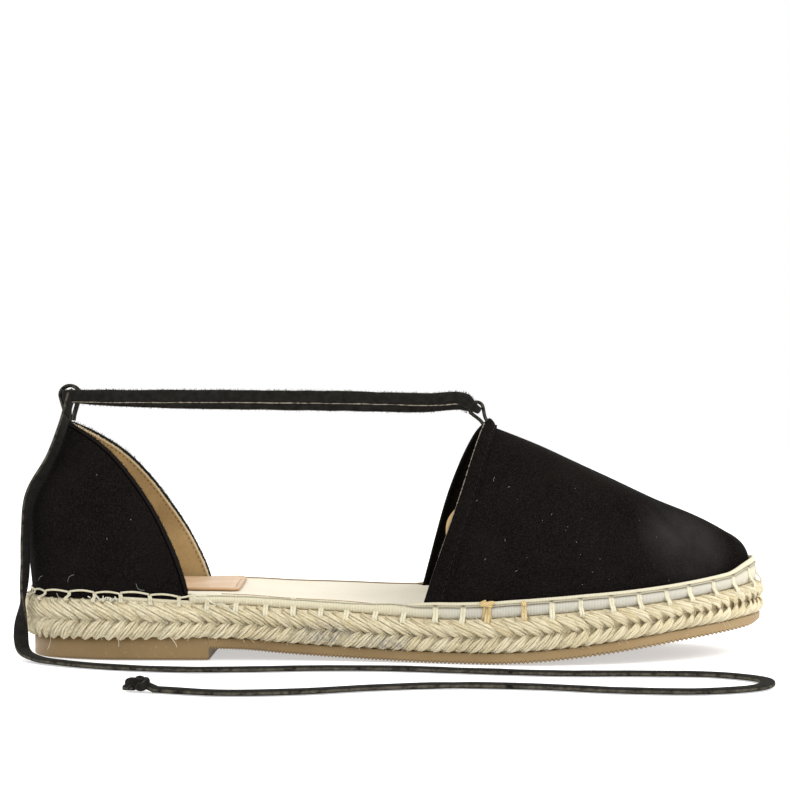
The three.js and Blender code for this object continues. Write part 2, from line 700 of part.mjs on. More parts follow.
// The lace: a flat cord with round edges.
const LACE_SIDES = 8;
function laceSection(width, thick) {
  const half = Math.PI / LACE_SIDES;
  return Array.from({ length: LACE_SIDES }, (_, i) => {
    const angle = (2 * i + 1) * half;
    return new THREE.Vector2(
      (Math.cos(angle) * width) / 2 / Math.cos(half),
      (Math.sin(angle) * thick) / 2 / Math.sin(3 * half)
    );
  });
}
const laceCurve = (points) =>
  new THREE.CatmullRomCurve3(points.map((p) => new THREE.Vector3(...p)), false, "centripetal");

// How far the section turns in the curve's frames so that its width points along a direction at a share of the curve.
function laceTurn(frames, step, direction) {
  return Math.atan2(direction.dot(frames.binormals[step]), direction.dot(frames.normals[step]));
}

const HEEL_LOOP_FOOT = new THREE.Vector3(collarX("outer", 1) + WALL, 0, COUNTER_HEIGHT + CLEARANCE);
const laceHeight = HEEL_LOOP_FOOT.z + HEEL_LOOP_HEIGHT - LOOP_THICK - 3 * CLEARANCE - LACE_WIDTH / 2;
const laceApart = LACE_THICK / 2 + CLEARANCE / 2;

// The two runs between the loops, through the vamp loop and crossed in the heel loop, as one solid cord.
// It is straight where it passes a loop, and bunched in the vamp loop.
function laceRuns(front) {
  const STEPS = 80;
  const heel = HEEL_LOOP_FOOT.x;
  const straight = HEEL_LOOP_WIDTH / 2 + LACE_PASS;
  const dip = THREE.MathUtils.degToRad(LACE_DIP);
  const run = (sign, behind, column, endDrop) => [
    [heel + behind - 0.22 * LACE_WIDTH, -sign * 2.2 * straight, laceHeight - endDrop * LACE_WIDTH],
    [heel + behind, -sign * straight, laceHeight],
    [heel + behind, 0, laceHeight],
    [heel + behind, sign * straight, laceHeight],
    ...LACE_LINE.map((row) => [
      mix(heel, front.x, row.at),
      sign * row.out * LACE_BOW,
      laceHeight - row[column] * LACE_SAG,
    ]),
    ...LACE_ENTRY.map(({ back, out, innerDrop }) => [
      front.x - back * LACE_WIDTH * Math.cos(dip),
      sign * out * LACE_WIDTH,
      front.z + back * LACE_WIDTH * Math.sin(dip) - (column === "inner" ? innerDrop * LACE_WIDTH : 0),
    ]),
  ];
  const curve = laceCurve([
    ...run(-1, -laceApart, "outer", OUTER_END_DROP),
    ...run(1, laceApart, "inner", INNER_END_DROP).reverse(),
  ]);
  const frames = curve.computeFrenetFrames(STEPS, false);
  const across = new THREE.Vector3(Math.sin(dip), 0, Math.cos(dip));
  const turn = laceTurn(frames, STEPS / 2, across);
  const halfLength = curve.getLength() / 2;
  const sections = Array.from({ length: STEPS + 1 }, (_, i) => {
    const fromLoop = Math.abs(i / STEPS - 0.5) * 2 * halfLength;
    const open = THREE.MathUtils.smoothstep(fromLoop, 0.4 * GATHER_LENGTH, GATHER_LENGTH);
    const width = mix(GATHERED_WIDTH, LACE_WIDTH, open);
    const thick = mix(GATHERED_THICK, LACE_THICK, open);
    const ring = laceSection(width, thick).map((p) => {
      p.rotateAround(new THREE.Vector2(), turn);
      return curve
        .getPointAt(i / STEPS)
        .addScaledVector(frames.normals[i], p.x)
        .addScaledVector(frames.binormals[i], p.y);
    });
    return ring.reverse();
  });
  return sweptSolid(sections);
}

// Routes of the two free ends, chosen by hand: down the outside of the heel, then along the floor in loose curves.
const FLOOR_Z = LACE_THICK / 2 + 0.2;
const TIE_NEAR_ROUTE = [
  [-112.95, -9.63, 81.4],
  [-113.6, -11.5, 78.1],
  [-117.4, -12.0, 68.0],
  [-124.2, -14.2, 55.0],
  [-125.5, -15.0, 42.0],
  [-125.4, -16.3, 30.0],
  [-125.9, -17.8, 19.0],
  [-126.0, -20.4, 10.0],
  [-124.2, -25.5, 3.6],
  [-118.5, -33.0, 1.6],
  [-108.0, -42.0, 1.2],
  [-92.0, -51.0, FLOOR_Z],
  [-68.0, -58.0, FLOOR_Z],
  [-48.0, -57.5, FLOOR_Z],
  [-24.0, -54.5, FLOOR_Z],
  [0.0, -55.5, FLOOR_Z],
  [26.0, -62.0, FLOOR_Z],
  [52.0, -67.5, FLOOR_Z],
  [78.0, -68.0, FLOOR_Z],
  [100.0, -71.0, FLOOR_Z],
  [112.0, -83.0, FLOOR_Z],
  [108.0, -99.0, FLOOR_Z],
  [90.0, -108.0, FLOOR_Z],
  [66.0, -106.0, FLOOR_Z],
  [42.0, -98.0, FLOOR_Z],
  [18.0, -95.0, FLOOR_Z],
  [-6.0, -100.0, FLOOR_Z],
  [-28.0, -108.5, FLOOR_Z],
  [-50.0, -111.0, FLOOR_Z],
  [-70.0, -104.0, FLOOR_Z],
];
const TIE_FAR_ROUTE = [
  [-114.97, 9.74, 84.46],
  [-115.5, 12.4, 82.0],
  [-116.2, 17.8, 72.0],
  [-116.6, 23.2, 57.0],
  [-116.4, 27.2, 43.0],
  [-115.6, 31.0, 30.0],
  [-114.2, 35.0, 18.0],
  [-110.8, 39.8, 8.0],
  [-105.0, 45.0, 3.2],
  [-96.0, 50.0, 1.7],
  [-85.0, 53.5, 1.2],
  [-70.0, 55.0, FLOOR_Z],
  [-50.0, 53.0, FLOOR_Z],
  [-28.0, 49.5, FLOOR_Z],
  [-6.0, 48.8, FLOOR_Z],
  [18.0, 54.0, FLOOR_Z],
  [42.0, 60.0, FLOOR_Z],
  [66.0, 61.5, FLOOR_Z],
  [88.0, 64.0, FLOOR_Z],
  [99.0, 74.0, FLOOR_Z],
  [95.0, 87.0, FLOOR_Z],
  [78.0, 93.0, FLOOR_Z],
  [54.0, 90.0, FLOOR_Z],
  [30.0, 82.5, FLOOR_Z],
  [6.0, 80.5, FLOOR_Z],
  [-16.0, 86.0, FLOOR_Z],
  [-38.0, 92.0, FLOOR_Z],
  [-62.0, 91.0, FLOOR_Z],
  [-82.0, 84.0, FLOOR_Z],
];

// A tie lies flat on the floor, so its width is level there.
function tie(route) {
  const STEPS = 48;
  const curve = laceCurve(route);
  const frames = curve.computeFrenetFrames(STEPS, false);
  const step = Math.round(0.6 * STEPS);
  const level = new THREE.Vector3(0, 0, 1).cross(frames.tangents[step]);
  const turn = laceTurn(frames, step, level);
  const section = laceSection(LACE_WIDTH, LACE_THICK).map((p) => p.rotateAround(new THREE.Vector2(), turn));
  return new THREE.ExtrudeGeometry(new THREE.Shape(section), { steps: STEPS, extrudePath: curve, bevelEnabled: false });
}

// The overhand knot at the end of a tie, lying on the floor just past the tie's last point.
function endKnot(route) {
  const [before, last] = route.slice(-2).map((p) => new THREE.Vector3(...p));
  const ahead = last.clone().sub(before).setZ(0).normalize();
  const geometry = new THREE.TorusKnotGeometry(KNOT_RADIUS, KNOT_TUBE, 30, 5, 2, 3);
  geometry.deleteAttribute("uv");
  geometry.deleteAttribute("normal");
  geometry.computeBoundingBox();
  const box = geometry.boundingBox;
  geometry.translate(-box.min.x, -(box.min.y + box.max.y) / 2, -box.min.z);
  geometry.rotateZ(Math.atan2(ahead.y, ahead.x));
  const middle = last.clone().addScaledVector(ahead, CLEARANCE);
  geometry.translate(middle.x, middle.y, 0);
  return mergeVertices(geometry, 1e-4);
}

const SUEDE = { color: 0x17171a, roughness: 0.95, metalness: 0 };
const COLOURS = {
  outsole: { color: 0xa87f52, roughness: 0.6, metalness: 0 },
  jute_midsole: { color: 0xd6c79f, roughness: 0.95, metalness: 0 },
  rand: { color: 0xcfcabf, roughness: 0.9, metalness: 0 },
  insole: { color: 0xe4dfcd, roughness: 0.85, metalness: 0 },
  heel_pad: { color: 0xd9b08c, roughness: 0.5, metalness: 0 },
};

const shoe = new THREE.Group();
shoe.name = "espadrille";
function place(name, geometry) {
  const mesh = new THREE.Mesh(geometry, new THREE.MeshStandardMaterial(COLOURS[name] ?? SUEDE));
  mesh.name = name;
  shoe.add(mesh);
  return mesh;
}

place("outsole", outsole());
place("jute_midsole", juteMidsole());
place("rand", rand());
place("insole", insole());
place("heel_pad", heelPad());
place("vamp", vamp());
place("heel_quarter", heelQuarter());

const heelLoop = place("heel_loop", strapLoop(HEEL_LOOP_HEIGHT, HEEL_LOOP_SPAN, HEEL_LOOP_WIDTH));
heelLoop.position.copy(HEEL_LOOP_FOOT);

const vampLoopLean = THREE.MathUtils.degToRad(VAMP_LOOP_TILT);
const vampLoop = place("vamp_loop", strapLoop(VAMP_LOOP_HEIGHT, VAMP_LOOP_SPAN, VAMP_LOOP_WIDTH));
const throatTop = vampPoint("outer", 0, 1);
vampLoop.position.set(throatTop.x - LOOP_THICK / 2, 0, throatTop.z + CASING - CLEARANCE / 2);
vampLoop.rotation.y = -vampLoopLean;
const holeUp = VAMP_LOOP_HEIGHT - LOOP_THICK - 2 * CLEARANCE - GATHERED_WIDTH / 2;
const holeMiddle = vampLoop.position.clone();
holeMiddle.x -= holeUp * Math.sin(vampLoopLean);
holeMiddle.z += holeUp * Math.cos(vampLoopLean);

place("lace_runs", laceRuns(holeMiddle));
place("tie_near", tie(TIE_NEAR_ROUTE));
place("tie_far", tie(TIE_FAR_ROUTE));
place("tie_knot_near", endKnot(TIE_NEAR_ROUTE));
place("tie_knot_far", endKnot(TIE_FAR_ROUTE));

export default shoe;
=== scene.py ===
"""The looks of a flat espadrille with undone ankle ties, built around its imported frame.

Lengths are millimetres until a mesh is made, which turns them into metres. +X is towards the toe,
+Y towards the inner side of the foot, +Z up. "Turn" runs round the sole's outline: 0 at the heel,
1 at the toe by the outer side, 2 at the heel again by the inner side.
"""

import math

import bmesh
import bpy
import numpy as np
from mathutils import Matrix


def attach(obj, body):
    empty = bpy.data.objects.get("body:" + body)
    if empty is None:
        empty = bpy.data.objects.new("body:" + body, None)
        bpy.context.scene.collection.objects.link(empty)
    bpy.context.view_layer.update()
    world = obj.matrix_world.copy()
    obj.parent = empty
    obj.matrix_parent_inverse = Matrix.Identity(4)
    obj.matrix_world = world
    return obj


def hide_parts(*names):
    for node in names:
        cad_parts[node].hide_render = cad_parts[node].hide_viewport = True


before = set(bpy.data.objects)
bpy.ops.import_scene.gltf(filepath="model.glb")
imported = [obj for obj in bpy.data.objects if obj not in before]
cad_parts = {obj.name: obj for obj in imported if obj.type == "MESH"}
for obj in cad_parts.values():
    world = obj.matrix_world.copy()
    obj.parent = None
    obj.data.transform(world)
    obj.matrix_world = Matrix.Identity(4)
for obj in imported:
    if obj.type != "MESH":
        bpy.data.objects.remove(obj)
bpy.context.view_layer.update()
scene = bpy.context.scene
MM = 0.001
rng = np.random.default_rng(7)
UP = np.array([0, 0, 1.0])
FORWARD = np.array([1.0, 0, 0])

# Camera: the photograph's place and angle.
CAMERA_DISTANCE = 650.0
CAMERA_HEIGHT = 76.0
FOCAL_PX = 1867.0
IMAGE_PX = 790
CENTRE_PX = 394.5
HORIZON_PX = 433.0
SENSOR_MM = 36.0

camera_data = bpy.data.cameras.new("camera")
camera_data.sensor_width = SENSOR_MM
camera_data.lens = FOCAL_PX / IMAGE_PX * SENSOR_MM
camera_data.shift_x = (IMAGE_PX / 2 - CENTRE_PX) / IMAGE_PX
camera_data.shift_y = (HORIZON_PX - IMAGE_PX / 2) / IMAGE_PX
camera = bpy.data.objects.new("camera", camera_data)
camera.location = (0, -CAMERA_DISTANCE * MM, CAMERA_HEIGHT * MM)
camera.rotation_euler = (math.pi / 2, 0, 0)
scene.collection.objects.link(camera)
scene.camera = camera

# The driving sizes, as in the part's own source.
LENGTH = 258.0
BALL_WIDTH = 86.0
CLEARANCE = 0.3
RUBBER = 3.7
HEEL_LIFT = 3.9
HEEL_BREAST = 67.0
RUBBER_INSET = 4.0
HEEL_TAPER = 0.6
TOE_SPRING = 10.2
JUTE = 11.3
MEDIAL_RISE = 1.8
WAIST_WIDTH = 54.0
WALL = 1.8
RAND = 1.3
RAND_HEIGHT = 5.6
RAND_INSET = 3.0
QUARTER_INSET = 3.4
INSOLE = 3.0
INSOLE_GAP = 1.0
INSOLE_CURL = 1.4
INSTEP_HEIGHT = 78.9
COUNTER_HEIGHT = 80.7
HEEL_LEAN = 10.9
THROAT_FOOT = 139.0
THROAT_LEAN = 21.9
THROAT_MEDIAL_BACK = 1.8
CASING = 1.0
CASING_WIDTH = 6.6
PAD = 0.9
PAD_LENGTH = 62.0
PAD_WIDTH = 37.0
PAD_BACK = 14.0
PAD_MIDDLE = 4.0
LACE_WIDTH = 4.6
LACE_THICK = 1.7
LACE_PASS = 1.8
OUTER_END_DROP = 0.87
INNER_END_DROP = 1.52
LACE_SAG = 3.2
LACE_BOW = 14.0
LACE_DIP = math.radians(35)
GATHERED_WIDTH = 2.6
GATHERED_THICK = 2.4
GATHER_LENGTH = 9.0
LOOP_THICK = 1.2
HEEL_LOOP_HEIGHT = 12.1
HEEL_LOOP_SPAN = 7.8
HEEL_LOOP_WIDTH = 5.0
VAMP_LOOP_HEIGHT = 8.2
VAMP_LOOP_SPAN = 6.0
VAMP_LOOP_WIDTH = 3.4
VAMP_LOOP_TILT = math.radians(32)
LOOP_FOOT_SHARE = 0.75
UPPER_INSET = RAND_INSET + RAND + CLEARANCE
HALF_LENGTH = LENGTH / 2
HALF_WIDTH = BALL_WIDTH / 2

# The tables of the part's source: outline, sole line, top lines and collar, as shares of the sizes above.
OUTLINE = [
    (0.0, 0.02), (0.032, -0.45), (0.105, -0.675), (0.21, -0.7), (0.33, -0.675), (0.43, -0.71),
    (0.53, -0.83), (0.63, -0.965), (0.7, -1.0), (0.79, -0.92), (0.87, -0.74), (0.94, -0.46),
    (0.985, -0.16), (1.0, 0.1), (0.985, 0.36), (0.94, 0.61), (0.87, 0.82), (0.79, 0.96),
    (0.71, 1.0), (0.62, 0.92), (0.53, 0.77), (0.43, 0.65), (0.33, 0.635), (0.21, 0.68),
    (0.105, 0.67), (0.032, 0.46),
]
SOLE_COLUMNS = ("at", "lift", "spring", "jute", "rise", "rubber", "rand")
SOLE_LINE = [
    (0.0, 1, 0, 1.1, 0, 1, 0.55),
    (0.12, 1, 0, 1.095, 0.25, 0.8, 0.5),
    (0.25, 1, 0, 0.96, 0.85, 0.5, 0.45),
    (0.3, 0.91, 0, 0.955, 1, 0.45, 0.47),
    (0.36, 0.57, 0, 0.97, 1, 0.42, 0.52),
    (0.43, 0.28, 0, 1, 1, 0.4, 0.47),
    (0.5, 0.09, 0, 0.96, 0.95, 0.38, 0.68),
    (0.56, 0, 0, 0.945, 0.85, 0.36, 0.95),
    (0.62, 0, 0, 0.99, 0.63, 0.355, 0.95),
    (0.65, 0, 0.035, 1.015, 0.5, 0.35, 0.95),
    (0.68, 0, 0.085, 1.02, 0.4, 0.35, 0.95),
    (0.73, 0, 0.21, 1, 0.25, 0.35, 0.93),
    (0.8, 0, 0.43, 0.915, 0.1, 0.33, 0.93),
    (0.87, 0, 0.67, 0.86, 0, 0.32, 0.93),
    (0.94, 0, 0.86, 0.885, 0, 0.31, 0.97),
    (0.97, 0, 0.94, 0.92, 0, 0.305, 1.3),
    (1.0, 0, 1, 0.965, 0, 0.3, 1.58),
]
VAMP_TOP = [
    (0.61, 1.02), (0.695, 0.911), (0.742, 0.84), (0.793, 0.763), (0.8415, 0.687),
    (0.887, 0.621), (0.927, 0.562), (0.953, 0.523), (0.985, 0.478),
]
HEEL_LEAN_LINE = [
    (0.0, 0), (0.17, -0.1), (0.32, -0.18), (0.46, -0.19), (0.56, -0.06), (0.68, 0.28), (0.83, 0.66),
    (1.0, 1),
]
HEEL_WIDTH_LINE = [
    (0.0, 1), (0.17, 1.015), (0.32, 1.015), (0.46, 0.97), (0.56, 0.91), (0.68, 0.82), (0.83, 0.67),
    (1.0, 0.47),
]
LEAN_FADE = [(0.013, 1), (0.06, 0.88), (0.12, 0.5), (0.17, 0.15), (0.23, 0)]
COLLAR = [
    (0.066, 0.2322), (0.136, 0.2279), (0.238, 0.2194), (0.352, 0.2078), (0.467, 0.1938), (0.58, 0.1764),
    (0.707, 0.1531), (0.823, 0.1264), (0.905, 0.1), (0.983, 0.0663), (1.0, 0.0554),
]
COLLAR_MEDIAL_REACH = 3.3
COLLAR_MEDIAL_SPAN = 0.5
COLLAR_FOOT = 0.066


def mix(a, b, t):
    return a + (b - a) * t


def smoothstep(x, low, high):
    t = np.clip((x - low) / (high - low), 0, 1)
    return t * t * (3 - 2 * t)


def curve_of(rows, column=1):
    """A smooth curve through a table's rows, with no bumps between equal values."""
    x = np.array([row[0] for row in rows], float)
    y = np.array([row[column] for row in rows], float)
    rate = np.diff(y) / np.diff(x)
    slope = np.zeros(len(x))
    slope[0], slope[-1] = rate[0], rate[-1]
    for i in range(1, len(x) - 1):
        if rate[i - 1] * rate[i] > 0:
            slope[i] = 2 * rate[i - 1] * rate[i] / (rate[i - 1] + rate[i])

    def at(value):
        value = np.clip(value, x[0], x[-1])
        i = np.clip(np.searchsorted(x, value) - 1, 0, len(x) - 2)
        width = x[i + 1] - x[i]
        t = (value - x[i]) / width
        bend = (1 - t) * t * width
        return y[i] + (y[i + 1] - y[i]) * t * t * (3 - 2 * t) + bend * ((1 - t) * slope[i] - t * slope[i + 1])

    return at


sole = {name: curve_of(SOLE_LINE, k) for k, name in enumerate(SOLE_COLUMNS) if k}
vamp_top_at = curve_of(VAMP_TOP)
heel_lean = curve_of(HEEL_LEAN_LINE)
heel_width = curve_of(HEEL_WIDTH_LINE)
lean_fade = curve_of(LEAN_FADE)
collar_at = curve_of(COLLAR)


def share_of_length(x):
    return (x + HALF_LENGTH) / LENGTH


def x_at(share):
    return share * LENGTH - HALF_LENGTH


def catmull(points, per_segment, closed=False):
    """Centripetal Catmull-Rom points through a list, evenly spaced within each segment."""
    p = np.array(points, float)
    n = len(p)
    result = []
    for i in range(n if closed else n - 1):
        p1, p2 = p[i], p[(i + 1) % n]
        p0 = p[i - 1] if closed or i > 0 else 2 * p[0] - p[1]
        p3 = p[(i + 2) % n] if closed or i + 2 < n else 2 * p[-1] - p[-2]
        d0, d1, d2 = (np.linalg.norm(b - a) ** 0.5 for a, b in ((p0, p1), (p1, p2), (p2, p3)))
        t1 = ((p1 - p0) / d0 - (p2 - p0) / (d0 + d1) + (p2 - p1) / d1) * d1
        t2 = ((p2 - p1) / d1 - (p3 - p1) / (d1 + d2) + (p3 - p2) / d2) * d1
        t = np.linspace(0, 1, per_segment, endpoint=False)[:, None]
        bend = (-3 * p1 + 3 * p2 - 2 * t1 - t2) * t**2
        result.append(p1 + t1 * t + bend + (2 * p1 - 2 * p2 + t1 + t2) * t**3)
    if not closed:
        result.append(p[-1:])
    return np.vstack(result)


def lengths_along(points):
    """How far along a polyline each of its points lies."""
    return np.concatenate([[0], np.cumsum(np.linalg.norm(np.diff(points, axis=0), axis=1))])


def by_length(points, step=None, count=None):
    """The same polyline with its points an even distance apart."""
    length = lengths_along(points)
    count = count or max(2, int(round(length[-1] / step)) + 1)
    wanted = np.linspace(0, length[-1], count)
    return np.stack([np.interp(wanted, length, points[:, k]) for k in range(points.shape[1])], axis=1)


def outline_halves():
    """Points, outward normals and lengths of the outline's two halves, each from the heel to the toe."""
    dense = catmull([(x_at(a), c * HALF_WIDTH) for a, c in OUTLINE], 62, closed=True)
    low, high = dense.min(axis=0), dense.max(axis=0)
    dense = (dense - (low + high) / 2) * np.array([LENGTH, BALL_WIDTH]) / (high - low)
    run = np.roll(dense, -1, axis=0) - np.roll(dense, 1, axis=0)
    run /= np.linalg.norm(run, axis=1, keepdims=True)
    normal = np.stack([run[:, 1], -run[:, 0]], axis=1)
    heel, toe = dense[:, 0].argmin(), dense[:, 0].argmax()
    halves = {}
    for side, step in (("outer", 1), ("inner", -1)):
        steps = ((toe - heel) * step) % len(dense)
        index = (heel + step * np.arange(steps + 1)) % len(dense)
        points = dense[index]
        halves[side] = (points, normal[index], lengths_along(points))
    return halves


HALVES = outline_halves()
HALF_RIM = {side: HALVES[side][2][-1] for side in HALVES}
PERIMETER = HALF_RIM["outer"] + HALF_RIM["inner"]


def rim(side, share, inset=0.0):
    """Points of one half of the outline at shares of its length, moved inwards."""
    points, normals, length = HALVES[side]
    wanted = np.clip(np.asarray(share, float), 0, 1) * length[-1]
    at = np.stack([np.interp(wanted, length, points[:, k]) for k in range(2)], axis=-1)
    out = np.stack([np.interp(wanted, length, normals[:, k]) for k in range(2)], axis=-1)
    out /= np.linalg.norm(out, axis=-1, keepdims=True)
    return at - out * np.asarray(inset)[..., None], out


def around(turn, inset=0.0):
    """Points and outward normals of the whole outline at turns from 0 to 2, moved inwards."""
    wrapped = np.mod(np.asarray(turn, float), 2)
    inset = np.broadcast_to(np.asarray(inset, float), wrapped.shape)
    near, near_out = rim("outer", wrapped, inset)
    far, far_out = rim("inner", 2 - wrapped, inset)
    use = (wrapped <= 1)[..., None]
    return np.where(use, near, far), np.where(use, near_out, far_out)


def turn_length(turn):
    """How far round the outline a turn is, in mm from the heel."""
    turn = np.asarray(turn, float)
    return np.where(turn <= 1, turn * HALF_RIM["outer"], HALF_RIM["outer"] + (turn - 1) * HALF_RIM["inner"])


def turn_at(length):
    """The turn at a length round the outline."""
    length = np.mod(length, PERIMETER)
    first = HALF_RIM["outer"]
    return np.where(length <= first, length / first, 1 + (length - first) / HALF_RIM["inner"])


def crossing(below, low, high):
    """The value between low and high at which below stops being true."""
    for _ in range(40):
        middle = (low + high) / 2
        if below(middle):
            low = middle
        else:
            high = middle
    return (low + high) / 2


def share_at_x(side, x, inset):
    """The share of one half of the outline, moved inwards, that reaches x."""
    return crossing(lambda share: rim(side, share, inset)[0][0] < x, 0.0, 1.0)


def sheet_bottom(x):
    at = share_of_length(x)
    return HEEL_LIFT * sole["lift"](at) + TOE_SPRING * sole["spring"](at)


def jute_bottom(x):
    return sheet_bottom(x) + RUBBER + CLEARANCE


def jute_top(x, y):
    at = share_of_length(x)
    tilt = MEDIAL_RISE * sole["rise"](at) * (y + WAIST_WIDTH / 2) / WAIST_WIDTH
    return jute_bottom(x) + JUTE * sole["jute"](at) + tilt


def on_jute(x, y):
    return jute_top(x, y) + CLEARANCE


def insole_top(x, y):
    """The insole's top, which curls up a little at the inner side of the open waist."""
    curl = smoothstep(y, 6, 30) * smoothstep(x, -75, -25) * (1 - smoothstep(x, 45, 70))
    return on_jute(x, y) + INSOLE + INSOLE_CURL * curl


def column(values):
    return np.asarray(values, float)[..., None]


def with_height(flat, z):
    return np.concatenate([flat, column(z)], axis=-1)


def laid_on(surface, flat, extra=0.0):
    """Flat points set on a surface of x and y, and extra above it."""
    return with_height(flat, surface(flat[..., 0], flat[..., 1]) + extra)


# Mesh helpers.
def grid_faces(rows, columns, close_rows=False, close_columns=False):
    """Quads of a grid whose points are numbered row by row."""
    r = np.arange(rows if close_rows else rows - 1)
    c = np.arange(columns if close_columns else columns - 1)
    r, c = np.meshgrid(r, c, indexing="ij")
    r2, c2 = (r + 1) % rows, (c + 1) % columns
    quads = np.stack([r * columns + c, r * columns + c2, r2 * columns + c2, r2 * columns + c], axis=-1)
    return quads.reshape(-1, 4).tolist()


def tube_faces(rings, count):
    """Quads of a stack of closed rings, with a face at each end."""
    faces = grid_faces(rings, count, close_columns=True)
    faces.append(list(range(count))[::-1])
    faces.append([(rings - 1) * count + k for k in range(count)])
    return faces


class Parts:
    """Collects points, faces and point values of many small bodies for one mesh; a missing value is 0."""

    def __init__(self):
        self.points, self.faces, self.values, self.count = [], [], [], 0

    def add(self, points, faces, **values):
        points = np.asarray(points, float).reshape(-1, 3)
        self.faces.extend([[i + self.count for i in face] for face in faces])
        self.points.append(points)
        self.values.append((self.count, self.count + len(points), values))
        self.count += len(points)

    def mesh(self, name, materials, face_materials=None, merge=0.0):
        spread = {}
        for start, end, values in self.values:
            for key, value in values.items():
                if key not in spread:
                    spread[key] = np.zeros((self.count, 2) if key == "uv" else self.count)
                spread[key][start:end] = value
        points = np.concatenate(self.points)
        return piece(name, points, self.faces, materials, face_materials, spread, merge)


def piece(name, points, faces, materials, face_materials=None, values=None, merge=0.0):
    """A mesh object from points in mm. Values are stored per point; uv becomes a UV map, in mm."""
    mesh = bpy.data.meshes.new(name)
    mesh.from_pydata((np.asarray(points) * MM).tolist(), [], faces)
    values = dict(values or {})
    uv = values.pop("uv", None)
    if uv is not None:
        layer = mesh.uv_layers.new(name="uv")
        index = np.zeros(len(mesh.loops), int)
        mesh.loops.foreach_get("vertex_index", index)
        layer.data.foreach_set("uv", np.asarray(uv, float)[index].ravel())
    for key, value in values.items():
        attribute = mesh.attributes.new(key, "FLOAT", "POINT")
        attribute.data.foreach_set("value", np.asarray(value, float))
    for material in materials if isinstance(materials, (list, tuple)) else [materials]:
        mesh.materials.append(material)
    if face_materials is not None:
        mesh.polygons.foreach_set("material_index", np.asarray(face_materials, int))
    work = bmesh.new()
    work.from_mesh(mesh)
    if merge:
        bmesh.ops.remove_doubles(work, verts=work.verts, dist=merge * MM)
    bmesh.ops.recalc_face_normals(work, faces=work.faces)
    work.to_mesh(mesh)
    work.free()
    mesh.polygons.foreach_set("use_smooth", [True] * len(mesh.polygons))
    made = bpy.data.objects.new(name, mesh)
    scene.collection.objects.link(made)
    return made


def dress(made, slot, *nodes):
    """Lets a piece ride with the shoe and hides the nodes that it stands for; slot is not used."""
    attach(made, "root")
    if nodes:
        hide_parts(*nodes)
    return made


def unit(v):
    return v / np.maximum(np.linalg.norm(v, axis=-1, keepdims=True), 1e-9)


def tangents(path):
    return unit(np.gradient(path, axis=0))


def sweep(parts, path, across, widths, thicks, sides=6, power=2.0, uv_shift=0.0, **values):
    """Adds a tube of superellipse section along a path; across is the way of its width at each point."""
    path = np.asarray(path, float)
    n = len(path)
    along = tangents(path)
    across = np.broadcast_to(np.asarray(across, float), path.shape)
    side = unit(across - along * np.sum(across * along, axis=1, keepdims=True))
    up = np.cross(along, side)
    angle = np.linspace(0, 2 * np.pi, sides, endpoint=False)
    c, s = np.cos(angle), np.sin(angle)
    a = np.sign(c) * np.abs(c) ** (2 / power)
    b = np.sign(s) * np.abs(s) ** (2 / power)
    widths = np.broadcast_to(np.asarray(widths, float), (n,))
    thicks = np.broadcast_to(np.asarray(thicks, float), (n,))
    points = (
        path[:, None]
        + side[:, None] * (a[None, :, None] * widths[:, None, None] / 2)
        + up[:, None] * (b[None, :, None] * thicks[:, None, None] / 2)
    )
    turned = np.where(angle > np.pi, 2 * np.pi - angle, angle) / np.pi
    uv = np.stack(np.broadcast_arrays(lengths_along(path)[:, None] + uv_shift, turned[None, :] * 4), axis=-1)
    spread = {key: np.repeat(np.broadcast_to(np.asarray(v, float), (n,)), sides) for key, v in values.items()}
    if "edge" not in spread:
        spread["edge"] = np.tile(np.abs(a), n)
    parts.add(points, tube_faces(n, sides), uv=uv.reshape(-1, 2), **spread)


# Materials. A wave texture of scale 1 has WAVES_PER_UNIT waves in a unit of its chart.
LINING_STITCH = 1.9
RIB_STEP = 0.52
ROW_STEP = 0.3
WAVES_PER_UNIT = 3.183
JUTE_SMUDGES = [((-22.7, -30, 9.2), 5.0), ((-2.5, -34, 6.0), 4.0), ((104.0, -30, 24.0), 2.0)]


